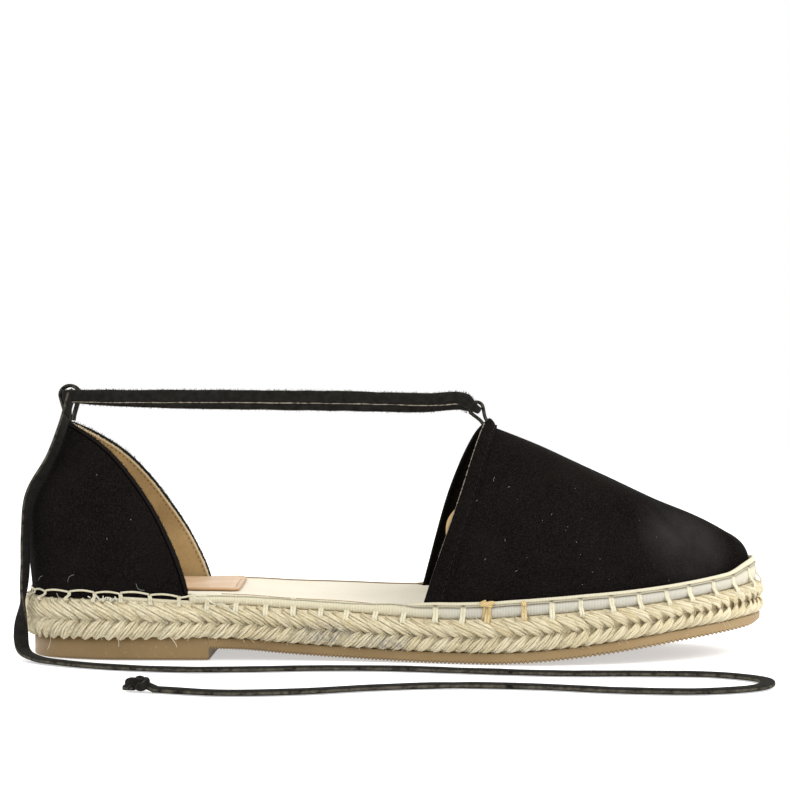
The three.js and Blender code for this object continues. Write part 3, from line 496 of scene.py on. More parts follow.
class Shader:
    """Builds a node material around its Principled shader."""

    def __init__(self, name, color, roughness, **settings):
        self.material = bpy.data.materials.new(name)
        self.material.use_nodes = True
        self.tree = self.material.node_tree
        self.surface = self.tree.nodes["Principled BSDF"]
        self.surface.inputs["Base Color"].default_value = (*color, 1)
        self.surface.inputs["Roughness"].default_value = roughness
        for key, value in settings.items():
            self.surface.inputs[key.replace("_", " ")].default_value = value

    def node(self, kind, inputs=None, **settings):
        made = self.tree.nodes.new(kind)
        for key, value in settings.items():
            setattr(made, key, value)
        for key, value in (inputs or {}).items():
            self.plug(value, made.inputs[key])
        return made

    def plug(self, value, socket):
        if isinstance(value, bpy.types.NodeSocket):
            self.tree.links.new(value, socket)
        else:
            socket.default_value = value

    def position(self, scale=(1, 1, 1)):
        coordinates = self.node("ShaderNodeTexCoord").outputs["Object"]
        return self.node("ShaderNodeMapping", {"Vector": coordinates, "Scale": scale}).outputs[0]

    def chart(self, scale=(1, 1, 1)):
        coordinates = self.node("ShaderNodeTexCoord").outputs["UV"]
        return self.node("ShaderNodeMapping", {"Vector": coordinates, "Scale": scale}).outputs[0]

    def noise(self, vector, scale, detail=2.0, roughness=0.5):
        inputs = {"Vector": vector, "Scale": scale, "Detail": detail, "Roughness": roughness}
        return self.node("ShaderNodeTexNoise", inputs).outputs["Fac"]

    def value(self, name):
        return self.node("ShaderNodeAttribute", attribute_name=name).outputs["Fac"]

    def wave(self, vector, scale, direction, distortion):
        inputs = {"Vector": vector, "Scale": scale, "Distortion": distortion, "Detail": 2.0}
        return self.node("ShaderNodeTexWave", inputs, bands_direction=direction).outputs["Fac"]

    def distance(self, vector, place):
        return self.node("ShaderNodeVectorMath", {0: vector, 1: place}, operation="DISTANCE").outputs["Value"]

    def along(self):
        """The place along the shoe, in metres."""
        return self.node("ShaderNodeSeparateXYZ", {0: self.position()}).outputs[0]

    def math(self, operation, a, b=0.0):
        return self.node("ShaderNodeMath", {0: a, 1: b}, operation=operation).outputs[0]

    def times(self, a, b):
        return self.math("MULTIPLY", a, b)

    def gap(self, a, b):
        return self.math("ABSOLUTE", self.math("SUBTRACT", a, b))

    def remap(self, value, low, high, to_low=0.0, to_high=1.0):
        inputs = {"Value": value, "From Min": low, "From Max": high, "To Min": to_low, "To Max": to_high}
        return self.node("ShaderNodeMapRange", inputs).outputs["Result"]

    def blend(self, amount, first, second):
        mixer = self.node("ShaderNodeMix", data_type="RGBA")
        self.plug(amount, mixer.inputs[0])
        self.plug(first if isinstance(first, bpy.types.NodeSocket) else (*first, 1), mixer.inputs[6])
        self.plug(second if isinstance(second, bpy.types.NodeSocket) else (*second, 1), mixer.inputs[7])
        return mixer.outputs[2]

    def bump(self, height, distance_mm, strength=1.0, after=None):
        inputs = {"Height": height, "Distance": distance_mm * MM, "Strength": strength}
        if after is not None:
            inputs["Normal"] = after
        return self.node("ShaderNodeBump", inputs).outputs[0]

    def finish(self, color=None, roughness=None, normal=None):
        for name, value in (("Base Color", color), ("Roughness", roughness), ("Normal", normal)):
            if value is not None:
                self.tree.links.new(value, self.surface.inputs[name])
        return self.material


def suede_material():
    """Napped suede with a painted sheen on the toe. The value from_edge is 10 less the mm to the collar edge,
    which has a band with a painted highlight and a seam.
    """
    base, raised = (0.0036, 0.0030, 0.0028), (0.0064, 0.0054, 0.0049)
    s = Shader("black_suede", base, 1.0, Specular_IOR_Level=0.0, Sheen_Weight=0.09, Sheen_Roughness=0.22,
               Sheen_Tint=(0.62, 0.61, 0.55, 1))
    place = s.position()
    nap = s.noise(place, 2100.0, 4.0, 0.7)
    clouds = s.noise(place, 55.0, 3.0, 0.6)
    brushed = s.noise(s.position((0.35, 1, 1)), 420.0, 2.0)
    color = s.blend(s.remap(clouds, 0.3, 0.72), base, raised)
    color = s.blend(s.remap(nap, 0.46, 0.72, 0, 0.75), color, tuple(3.4 * v for v in raised))
    # Painted sheen: a lighter haze on the toe, patchy with the clouds.
    from_toe = s.distance(place, (0.104, -0.024, 0.046))
    wear_and_sheen = s.times(s.remap(from_toe, 0.004, 0.024, 0.9, 0), s.remap(clouds, 0.3, 0.6, 0.4, 1))
    color = s.blend(wear_and_sheen, color, (0.040, 0.0365, 0.035))
    from_edge = s.value("from_edge")
    from_seam = s.gap(from_edge, 8.6)
    # Painted highlight: the band between the seam and the collar edge is lighter.
    color = s.blend(s.remap(from_edge, 8.7, 8.95, 0, 0.4), color, tuple(2.6 * v for v in raised))
    color = s.blend(s.remap(from_seam, 0.12, 0.34, 0.9, 0), color, (0.0012, 0.0011, 0.001))
    normal = s.bump(nap, 0.14, 1.0)
    normal = s.bump(brushed, 0.12, 0.5, normal)
    normal = s.bump(s.remap(from_seam, 0.0, 0.4), 0.3, 1.0, normal)
    return s.finish(color, None, normal)


def lining_material():
    """Tan lining; from the collar edge inwards come a black edge, a cream line and a row of dark stitches."""
    s = Shader("tan_lining", (0.40, 0.27, 0.12), 1.0, Specular_IOR_Level=0.15)
    place = s.position()
    felt = s.noise(place, 1700.0, 4.0, 0.7)
    patches = s.noise(place, 90.0, 3.0)
    color = s.blend(s.remap(patches, 0.3, 0.7), (0.29, 0.19, 0.08), (0.43, 0.30, 0.135))
    color = s.blend(s.remap(felt, 0.3, 0.75, 0, 0.45), color, (0.55, 0.41, 0.22))
    from_edge = s.value("from_edge")
    wave = s.math("SINE", s.times(s.value("along_edge"), 2 * math.pi / LINING_STITCH))
    row = s.remap(s.gap(from_edge, 8.3), 0.12, 0.28, 0.8, 0)
    color = s.blend(s.times(row, s.remap(wave, -0.1, 0.35)), color, (0.075, 0.04, 0.016))
    color = s.blend(s.remap(from_edge, 8.9, 9.05), color, (0.70, 0.60, 0.40))
    ragged = s.math("ADD", from_edge, s.remap(felt, 0.3, 0.7, -0.25, 0.25))
    color = s.blend(s.remap(ragged, 9.5, 9.65), color, (0.01, 0.009, 0.008))
    return s.finish(color, None, s.bump(felt, 0.12, 0.8))


def jute_material():
    """Jute yarn: fibres along each ply, a mat of fuzz towards the heel, three smudges, and painted shade
    where depth is low.
    """
    s = Shader("jute", (0.68, 0.58, 0.38), 0.85, Specular_IOR_Level=0.2)
    fibres = s.noise(s.chart((0.09, 1.6, 1)), 4.0, 4.0, 0.7)
    fine = s.noise(s.chart((0.2, 5.0, 1)), 4.0, 2.0, 0.6)
    color = s.blend(s.value("tone"), (0.69, 0.595, 0.37), (0.86, 0.79, 0.58))
    color = s.blend(s.remap(fibres, 0.35, 0.68), s.blend(0.36, color, (0.40, 0.29, 0.14)), color)
    color = s.blend(s.remap(fine, 0.5, 0.8, 0, 0.4), color, (0.88, 0.83, 0.66))
    # Painted shade: brown where the point value depth is low, in the braid's gaps, where strands dive and on
    # the plies' inner sides.
    color = s.blend(s.remap(s.value("depth"), 0.0, 0.7, 0.75, 0), color, (0.33, 0.225, 0.10))
    # Here wear_and_sheen is only wear: the braid matted into fuzz towards the heel.
    wear_and_sheen = s.remap(s.along(), -0.105, 0.08, 1, 0.1)
    fuzz = s.noise(s.position(), 1300.0, 4.0, 0.75)
    color = s.blend(s.times(wear_and_sheen, s.remap(fuzz, 0.50, 0.66, 0, 0.7)), color, (0.87, 0.82, 0.64))
    color = s.blend(s.times(wear_and_sheen, s.remap(fuzz, 0.32, 0.46, 0.55, 0)), color, (0.45, 0.35, 0.19))
    smudge = s.remap(s.noise(s.position(), 600.0, 3.0, 0.7), 0.4, 0.6)
    squeeze = (0.4, 0.6, 1)
    for centre, reach in JUTE_SMUDGES:
        away = s.distance(s.position(squeeze), tuple(v * k * MM for v, k in zip(centre, squeeze)))
        near = s.remap(away, 0.3 * reach * MM, reach * MM, 0.7, 0)
        color = s.blend(s.times(near, smudge), color, (0.25, 0.24, 0.25))
    normal = s.bump(fibres, 0.3, 0.9)
    normal = s.bump(fine, 0.12, 0.7, normal)
    normal = s.bump(s.times(wear_and_sheen, fuzz), 0.35, 0.8, normal)
    return s.finish(color, None, normal)


def canvas_material():
    """Woven tape: ribs across and finer rows along, from the chart's mm; cream where tint is 1, with painted
    shade where groove is 1.
    """
    light, dark = (0.635, 0.615, 0.545), (0.45, 0.43, 0.37)
    s = Shader("canvas_tape", light, 0.9, Specular_IOR_Level=0.2)
    ribs = s.wave(s.chart(), 1 / RIB_STEP / WAVES_PER_UNIT, "X", 0.6)
    rows = s.wave(s.chart(), 1 / ROW_STEP / WAVES_PER_UNIT, "Y", 0.6)
    weave = s.times(ribs, s.remap(rows, 0, 1, 0.55, 1))
    stain = s.noise(s.position(), 45.0, 4.0, 0.6)
    color = s.blend(s.remap(weave, 0.1, 0.8), dark, light)
    color = s.blend(s.remap(stain, 0.45, 0.8, 0, 0.35), color, dark)
    cream = s.blend(s.remap(weave, 0.1, 0.8), (0.57, 0.515, 0.36), (0.76, 0.70, 0.525))
    color = s.blend(s.value("tint"), color, cream)
    # Painted shade in the groove between the roll and the lip.
    color = s.blend(s.value("groove"), color, (0.13, 0.095, 0.05))
    return s.finish(color, None, s.bump(weave, 0.14, 0.9))


def insole_material():
    """Fine ivory canvas, brown where edge is 1."""
    s = Shader("insole_canvas", (0.76, 0.71, 0.58), 0.85, Specular_IOR_Level=0.25)
    place = s.position()
    weave = s.times(s.wave(place, 480.0, "X", 1.5), s.wave(place, 480.0, "Y", 1.5))
    cloud = s.noise(place, 38.0, 3.0)
    color = s.blend(s.remap(cloud, 0.3, 0.75), (0.80, 0.75, 0.625), (0.725, 0.675, 0.545))
    color = s.blend(s.remap(weave, 0.0, 0.6, 0.25, 0), color, (0.52, 0.47, 0.35))
    color = s.blend(s.value("edge"), color, (0.50, 0.37, 0.19))
    return s.finish(color, None, s.bump(weave, 0.07, 0.7))


def leather_material():
    """Thin tan leather, darker where edge is 1."""
    s = Shader("pad_leather", (0.72, 0.46, 0.28), 0.42, Specular_IOR_Level=0.5)
    place = s.position()
    grain = s.node("ShaderNodeTexVoronoi", {"Vector": place, "Scale": 1500.0}).outputs["Distance"]
    patches = s.noise(place, 70.0, 3.0)
    color = s.blend(s.remap(patches, 0.3, 0.7), (0.64, 0.45, 0.285), (0.53, 0.355, 0.205))
    color = s.blend(s.value("edge"), color, (0.42, 0.23, 0.1))
    return s.finish(color, s.remap(patches, 0.3, 0.7, 0.38, 0.55), s.bump(grain, 0.05, 0.5))


def rubber_material():
    """Tan rubber, browner at the heel, with painted shade in the tread's grooves where groove is 1."""
    s = Shader("rubber", (0.28, 0.19, 0.09), 0.5, Specular_IOR_Level=0.3)
    place = s.position()
    cloud = s.noise(place, 30.0, 4.0, 0.55)
    specks = s.noise(place, 900.0, 3.0, 0.7)
    streaks = s.noise(s.position((0.15, 0.15, 1)), 260.0, 3.0)
    brown = s.blend(s.remap(cloud, 0.3, 0.72), (0.18, 0.115, 0.046), (0.245, 0.163, 0.072))
    pale = s.blend(s.remap(cloud, 0.3, 0.72), (0.245, 0.162, 0.070), (0.325, 0.222, 0.106))
    color = s.blend(s.remap(s.along(), -0.04, 0.115), brown, pale)
    color = s.blend(s.remap(specks, 0.62, 0.8, 0, 0.5), color, (0.50, 0.39, 0.24))
    # Painted shade: the tread's grooves and notches are darkened.
    color = s.blend(s.value("groove"), color, (0.05, 0.028, 0.01))
    rough = s.remap(streaks, 0.3, 0.7, 0.42, 0.62)
    return s.finish(color, rough, s.bump(specks, 0.035, 0.6))


def thread_material():
    """Twisted cream thread; amber, pale and dark each take it over where they are 1."""
    s = Shader("thread", (0.82, 0.77, 0.57), 0.8, Specular_IOR_Level=0.25)
    twist = s.wave(s.chart((1, 1.2, 1)), 0.42, "DIAGONAL", 0.8)
    amber = s.value("amber")
    color = s.blend(s.remap(twist, 0.1, 0.9), (0.66, 0.59, 0.39), (0.86, 0.82, 0.65))
    color = s.blend(amber, color, s.blend(twist, (0.50, 0.32, 0.10), (0.74, 0.56, 0.26)))
    color = s.blend(s.value("pale"), color, (0.93, 0.89, 0.74))
    color = s.blend(s.value("dark"), color, (0.05, 0.035, 0.02))
    return s.finish(color, s.remap(amber, 0, 1, 0.8, 0.35), s.bump(twist, 0.2, 0.8))


def lace_material():
    """The lace's suede, with its pale cut fibres where edge is near 1."""
    s = Shader("lace_suede", (0.012, 0.012, 0.011), 1.0, Specular_IOR_Level=0.0, Sheen_Weight=0.06,
               Sheen_Tint=(0.6, 0.6, 0.55, 1))
    place = s.position()
    nap = s.noise(place, 2300.0, 3.0, 0.65)
    clumps = s.noise(place, 500.0, 3.0)
    color = s.blend(s.remap(clumps, 0.3, 0.7), (0.0095, 0.0088, 0.0078), (0.018, 0.0168, 0.0148))
    cut = s.times(s.remap(s.value("edge"), 0.93, 0.995), s.remap(clumps, 0.3, 0.62))
    color = s.blend(cut, color, (0.09, 0.08, 0.06))
    return s.finish(color, None, s.bump(nap, 0.16, 0.9))


def plain_material(name, color, roughness):
    s = Shader(name, color, roughness, Specular_IOR_Level=0.2)
    grain = s.noise(s.position(), 1500.0, 3.0, 0.6)
    shade = s.blend(s.remap(grain, 0.3, 0.7), tuple(0.82 * v for v in color), color)
    return s.finish(shade, None, s.bump(grain, 0.05, 0.5))


SUEDE = suede_material()
LINING = lining_material()
JUTE_YARN = jute_material()
CANVAS = canvas_material()
INSOLE_CANVAS = insole_material()
PAD_LEATHER = leather_material()
RUBBER_TAN = rubber_material()
THREAD = thread_material()
LACE_SUEDE = lace_material()
BLACK_THREAD = plain_material("black_thread", (0.013, 0.012, 0.011), 0.8)
PALE_EDGE = plain_material("pale_cut_edge", (0.27, 0.235, 0.185), 0.9)
EDGE_BROWN = plain_material("edge_brown", (0.36, 0.26, 0.14), 0.8)
LINT = plain_material("lint", (0.30, 0.29, 0.27), 0.9)


# Cords first: the lace runs, then the two free ties with their knots.
def vamp_top(x):
    return INSTEP_HEIGHT * vamp_top_at(share_of_length(x))


def collar_x(side, up):
    reach = COLLAR_MEDIAL_REACH * np.maximum(0, 1 - up / COLLAR_MEDIAL_SPAN) if side == "inner" else 0
    return x_at(collar_at(up)) + reach


def collar_front(y):
    """Where the foot of the heel piece ends along the shoe, on either side."""
    return np.where(y < 0, collar_x("outer", COLLAR_FOOT), collar_x("inner", COLLAR_FOOT))


THROAT_FOOT_X = THROAT_FOOT - HALF_LENGTH
THROAT_TOP_X = THROAT_FOOT_X + THROAT_LEAN
HEEL_LOOP_FOOT = np.array([float(collar_x("outer", 1.0)) + WALL, 0, COUNTER_HEIGHT + CLEARANCE])
VAMP_TIP = float(vamp_top(THROAT_TOP_X)) + CASING
VAMP_LOOP_FOOT = np.array([THROAT_TOP_X - LOOP_THICK / 2, 0, VAMP_TIP - CLEARANCE / 2])
LACE_HEIGHT = HEEL_LOOP_FOOT[2] + HEEL_LOOP_HEIGHT - LOOP_THICK - 3 * CLEARANCE - LACE_WIDTH / 2
LACE_APART = LACE_THICK / 2 + CLEARANCE / 2
HOLE_UP = VAMP_LOOP_HEIGHT - LOOP_THICK - 2 * CLEARANCE - GATHERED_WIDTH / 2
VAMP_HOLE = VAMP_LOOP_FOOT + HOLE_UP * np.array([-math.sin(VAMP_LOOP_TILT), 0, math.cos(VAMP_LOOP_TILT)])
# Share of the way, how far out, and how far the outer and the inner run hang.
LACE_LINE = [
    (0.05, 0.5, 0, 0.2),
    (0.14, 0.72, 0.05, 0.4),
    (0.3, 0.93, 0.06, 0.6),
    (0.5, 1, 0.1, 0.72),
    (0.7, 0.9, 0.2, 0.86),
    (0.87, 0.68, 0.38, 1),
]


# A run's last points, as shares of LACE_WIDTH: back along the dip, outwards, and the inner run's drop.
LACE_ENTRY = [(1.3, 1.48, 0.3), (0.52, 1.13, 0.11), (0, 0.52, 0)]


def lace_run(sign, behind, hang, end_drop):
    straight = HEEL_LOOP_WIDTH / 2 + LACE_PASS
    heel = HEEL_LOOP_FOOT[0]
    inner = hang == 3
    return [
        (heel + behind - 0.22 * LACE_WIDTH, -sign * 2.2 * straight, LACE_HEIGHT - end_drop * LACE_WIDTH),
        (heel + behind, -sign * straight, LACE_HEIGHT),
        (heel + behind, 0, LACE_HEIGHT),
        (heel + behind, sign * straight, LACE_HEIGHT),
        *[
            (mix(heel, VAMP_HOLE[0], row[0]), sign * row[1] * LACE_BOW, LACE_HEIGHT - row[hang] * LACE_SAG)
            for row in LACE_LINE
        ],
        *[
            (
                VAMP_HOLE[0] - back * LACE_WIDTH * math.cos(LACE_DIP),
                sign * out * LACE_WIDTH,
                VAMP_HOLE[2] + back * LACE_WIDTH * math.sin(LACE_DIP) - (drop * LACE_WIDTH if inner else 0),
            )
            for back, out, drop in LACE_ENTRY
        ],
    ]


def flat_lace(name, path, across, widths, thicks, node):
    """A flat suede cord along an evenly spaced path, with soft lumps in its width and thickness."""
    knots = np.arange(0, len(path) + 6, 6)
    lumps = np.interp(np.arange(len(path)), knots, rng.normal(0, 1, len(knots)))
    parts = Parts()
    sweep(parts, path, across, widths * (1 + 0.03 * lumps), thicks * (1 - 0.04 * lumps), sides=20, power=3.2)
    return dress(parts.mesh(name, LACE_SUEDE), "lace", node)


def carried(path, start):
    """Carries a direction along a path without twisting it."""
    along = tangents(path)
    result = [unit(start - along[0] * np.dot(start, along[0]))]
    for t in along[1:]:
        v = result[-1] - t * np.dot(result[-1], t)
        result.append(unit(v))
    return np.array(result)


LACE_STEP = 0.8
outer_run = lace_run(-1, -LACE_APART, 2, OUTER_END_DROP)
inner_run = lace_run(1, LACE_APART, 3, INNER_END_DROP)
runs_path = by_length(catmull(outer_run + inner_run[::-1], 40), step=LACE_STEP)
middle = len(runs_path) // 2
across_dip = np.array([math.sin(LACE_DIP), 0, math.cos(LACE_DIP)])
runs_across = np.vstack([
    carried(runs_path[: middle + 1][::-1], across_dip)[::-1][:-1],
    carried(runs_path[middle:], across_dip),
])
from_loop = np.abs(np.linspace(-1, 1, len(runs_path))) * LACE_STEP / 2 * len(runs_path)
opened = smoothstep(from_loop, 0.4 * GATHER_LENGTH, GATHER_LENGTH)
flat_lace(
    "lace_runs_suede", runs_path, runs_across,
    mix(GATHERED_WIDTH, LACE_WIDTH, opened), mix(GATHERED_THICK, LACE_THICK, opened), "lace_runs",
)


def cut_edge_line():
    """The pale cut edge of the lace that shows along the foot of the near run."""
    shown = slice(20, len(runs_path) // 2 - 14)
    run, across = runs_path[shown], runs_across[shown]
    out = unit(np.cross(tangents(run), across))
    out = out * np.sign(-out[:, 1:2])
    knots = np.arange(0, len(run) + 5, 5)
    wander = np.interp(np.arange(len(run)), knots, rng.normal(0, 0.1, len(knots)))
    path = run - across * (2.0 + 0.6 * wander)[:, None] + out * 0.8
    thick = np.clip(0.26 + 0.12 * rng.normal(0, 1, len(run)), 0.08, 0.5)
    parts = Parts()
    sweep(parts, path, across, thick, 0.22)
    return dress(parts.mesh("lace_cut_edge", PALE_EDGE), "lace")


cut_edge_line()


def nap_fringe(name, lines, per_mm, length, slot):
    """Short fibres that stand up from the edges of the suede. Each line is points and their ways out."""
    parts = Parts()
    for points, ways in lines:
        points = np.asarray(points, float)
        run = np.concatenate([[0], np.cumsum(np.linalg.norm(np.diff(points, axis=0), axis=1))])
        count = int(run[-1] * per_mm)
        places = rng.uniform(0, run[-1], count)
        ways = np.broadcast_to(np.asarray(ways, float), points.shape)
        roots = np.stack([np.interp(places, run, points[:, k]) for k in range(3)], axis=1)
        out = unit(np.stack([np.interp(places, run, ways[:, k]) for k in range(3)], axis=1))
        for root, way in zip(roots, out):
            tip = way * rng.uniform(0.4, 1.0) * length + rng.normal(0, 0.22, 3) * length
            start = root - way * 0.12 + rng.normal(0, 0.15, 3) * (1 - np.abs(way))
            path = np.array([start, start + 0.55 * tip, start + tip + rng.normal(0, 0.1, 3) * length])
            taper = np.array([0.15, 0.12, 0.05])
            sweep(parts, path, np.cross(way, [0.3, 0.5, 0.8]), taper, taper, sides=3)
    return dress(parts.mesh(name, LACE_SUEDE), slot)


open_path, open_across = runs_path[14:-14], runs_across[14:-14]
lace_edges = [(open_path + sign * open_across * LACE_WIDTH / 2, sign * open_across) for sign in (1, -1)]
nap_fringe("lace_nap", lace_edges, 3.0, 0.6, "lace")

# The routes of the free ties, point for point as in the part's source.
FLOOR_Z = LACE_THICK / 2 + 0.2


def on_floor(*places):
    return [(x, y, FLOOR_Z) for x, y in places]


TIE_NEAR_ROUTE = [
    (-112.95, -9.63, 81.4), (-113.6, -11.5, 78.1), (-117.4, -12.0, 68.0), (-124.2, -14.2, 55.0),
    (-125.5, -15.0, 42.0), (-125.4, -16.3, 30.0), (-125.9, -17.8, 19.0), (-126.0, -20.4, 10.0),
    (-124.2, -25.5, 3.6), (-118.5, -33.0, 1.6), (-108.0, -42.0, 1.2),
    *on_floor(
        (-92.0, -51.0), (-68.0, -58.0), (-48.0, -57.5), (-24.0, -54.5), (0.0, -55.5), (26.0, -62.0),
        (52.0, -67.5), (78.0, -68.0), (100.0, -71.0), (112.0, -83.0), (108.0, -99.0), (90.0, -108.0),
        (66.0, -106.0), (42.0, -98.0), (18.0, -95.0), (-6.0, -100.0), (-28.0, -108.5), (-50.0, -111.0),
        (-70.0, -104.0),
    ),
]
TIE_FAR_ROUTE = [
    (-114.97, 9.74, 84.46), (-115.5, 12.4, 82.0), (-116.2, 17.8, 72.0), (-116.6, 23.2, 57.0),
    (-116.4, 27.2, 43.0), (-115.6, 31.0, 30.0), (-114.2, 35.0, 18.0), (-110.8, 39.8, 8.0),
    (-105.0, 45.0, 3.2), (-96.0, 50.0, 1.7), (-85.0, 53.5, 1.2),
    *on_floor(
        (-70.0, 55.0), (-50.0, 53.0), (-28.0, 49.5), (-6.0, 48.8), (18.0, 54.0), (42.0, 60.0), (66.0, 61.5),
        (88.0, 64.0), (99.0, 74.0), (95.0, 87.0), (78.0, 93.0), (54.0, 90.0), (30.0, 82.5), (6.0, 80.5),
        (-16.0, 86.0), (-38.0, 92.0), (-62.0, 91.0), (-82.0, 84.0),
    ),
]


def tie(name, route, node, start_across):
    """A free end of the lace: it turns flat as it comes down, and lies on its broad side on the floor."""
    path = by_length(catmull(route, 24), step=1.0)
    along = tangents(path)
    level = unit(np.cross(UP, along))
    if np.dot(level[0], start_across) < 0:
        start_across = -start_across
    hanging = carried(path, start_across)
    sign = np.sign(np.sum(level[60] * hanging[60]))
    settled = smoothstep(path[:, 2], 30.0, 4.0)[:, None]
    across = unit(mix(hanging, level * sign, settled))
    widths, thicks = np.full(len(path), LACE_WIDTH), np.full(len(path), LACE_THICK)
    made = flat_lace(name, path, across, widths, thicks, node)
    return made, path


def overhand_knot(name, route, node):
    """A tight overhand knot with a short cut tail, lying just past the tie's last point."""
    before, last = np.array(route[-2]), np.array(route[-1])
    ahead = unit((last - before) * [1, 1, 0])
    aside = np.array([-ahead[1], ahead[0], 0])
    t = np.linspace(0, 2 * np.pi, 90)
    loop = np.stack([2.1 * (np.sin(t) + 1.55 * np.sin(2 * t)), 1.25 * (np.cos(t) - 1.55 * np.cos(2 * t)),
                     -1.25 * np.sin(3 * t)], axis=1)
    centre = last + ahead * 5.2 + [0, 0, 2.55 - last[2]]
    path = centre + loop[:, :1] * ahead * 0.62 + loop[:, 1:2] * aside + loop[:, 2:] * [0, 0, 0.62]
    parts = Parts()
    sweep(parts, path, UP, 2.5, 1.9, sides=14, power=2.4)
    tail = centre + ahead * np.linspace(1.5, 4.6, 12)[:, None] + [0, 0, -1.3]
    sweep(parts, tail, aside, np.linspace(2.6, LACE_WIDTH * 0.8, 12), 1.7, sides=16, power=3)
    rise = np.linspace(FLOOR_Z - centre[2], 0, 12)
    neck = centre - ahead * np.linspace(5.4, 1.2, 12)[:, None] + rise[:, None] * UP
    widths, thicks = np.linspace(LACE_WIDTH, 2.6, 12), np.linspace(LACE_THICK, 2.3, 12)
    sweep(parts, neck, aside, widths, thicks, sides=16, power=3)
    return dress(parts.mesh(name, LACE_SUEDE), "lace", node)


tie_near, near_path = tie("tie_near_suede", TIE_NEAR_ROUTE, "tie_near", runs_across[-1])
tie_far, far_path = tie("tie_far_suede", TIE_FAR_ROUTE, "tie_far", runs_across[0])
knot_near = overhand_knot("knot_near_suede", TIE_NEAR_ROUTE, "tie_knot_near")
knot_far = overhand_knot("knot_far_suede", TIE_FAR_ROUTE, "tie_knot_far")


# The strap loops.
def strap_loop(name, foot, tilt, height, span, width, node):
    """A strap bent over a round top, its two ends side by side in the seam that holds them."""
    radius = span / 2 - LOOP_THICK / 2
    centre = height - span / 2
    sides = radius * LOOP_FOOT_SHARE * 0.45
    angles = np.linspace(np.pi, 0, 17)
    points = [(-sides, -0.6), (-sides * 1.25, 1.2)]
    points += [(radius * math.cos(a), centre + radius * math.sin(a)) for a in angles]
    points += [(sides * 1.25, 1.2), (sides, -0.6)]
    flat = catmull(points, 8)
    lean = np.array([-math.sin(tilt), 0, math.cos(tilt)])
    forward = np.array([math.cos(tilt), 0, math.sin(tilt)])
    path = foot + flat[:, :1] * forward + flat[:, 1:] * lean
    parts = Parts()
    sweep(parts, by_length(path, step=0.4), np.array([0, 1.0, 0]), width, LOOP_THICK, sides=16, power=3.4)
    return dress(parts.mesh(name, LACE_SUEDE), "suede", node)


strap_loop(
    "heel_loop_suede", HEEL_LOOP_FOOT, 0.0, HEEL_LOOP_HEIGHT, HEEL_LOOP_SPAN, HEEL_LOOP_WIDTH, "heel_loop",
)
strap_loop(
    "vamp_loop_suede", VAMP_LOOP_FOOT, VAMP_LOOP_TILT, VAMP_LOOP_HEIGHT, VAMP_LOOP_SPAN, VAMP_LOOP_WIDTH,
    "vamp_loop",
)


# The rubber sole: its stations follow the length, so that each rib of the tread runs straight across.
RIB_PITCH = curve_of([(-120, 0.95), (-62, 0.97), (-40, 1.15), (20, 1.3), (90, 1.6), (125, 1.6)])
RIB_DEPTH = curve_of([(-120, 0.5), (-62, 0.5), (-30, 0.6), (40, 0.75), (125, 0.7)])
BREAST_X = -HALF_LENGTH + HEEL_BREAST


def rubber_inset(x):
    return RUBBER_INSET * sole["rubber"](share_of_length(x))


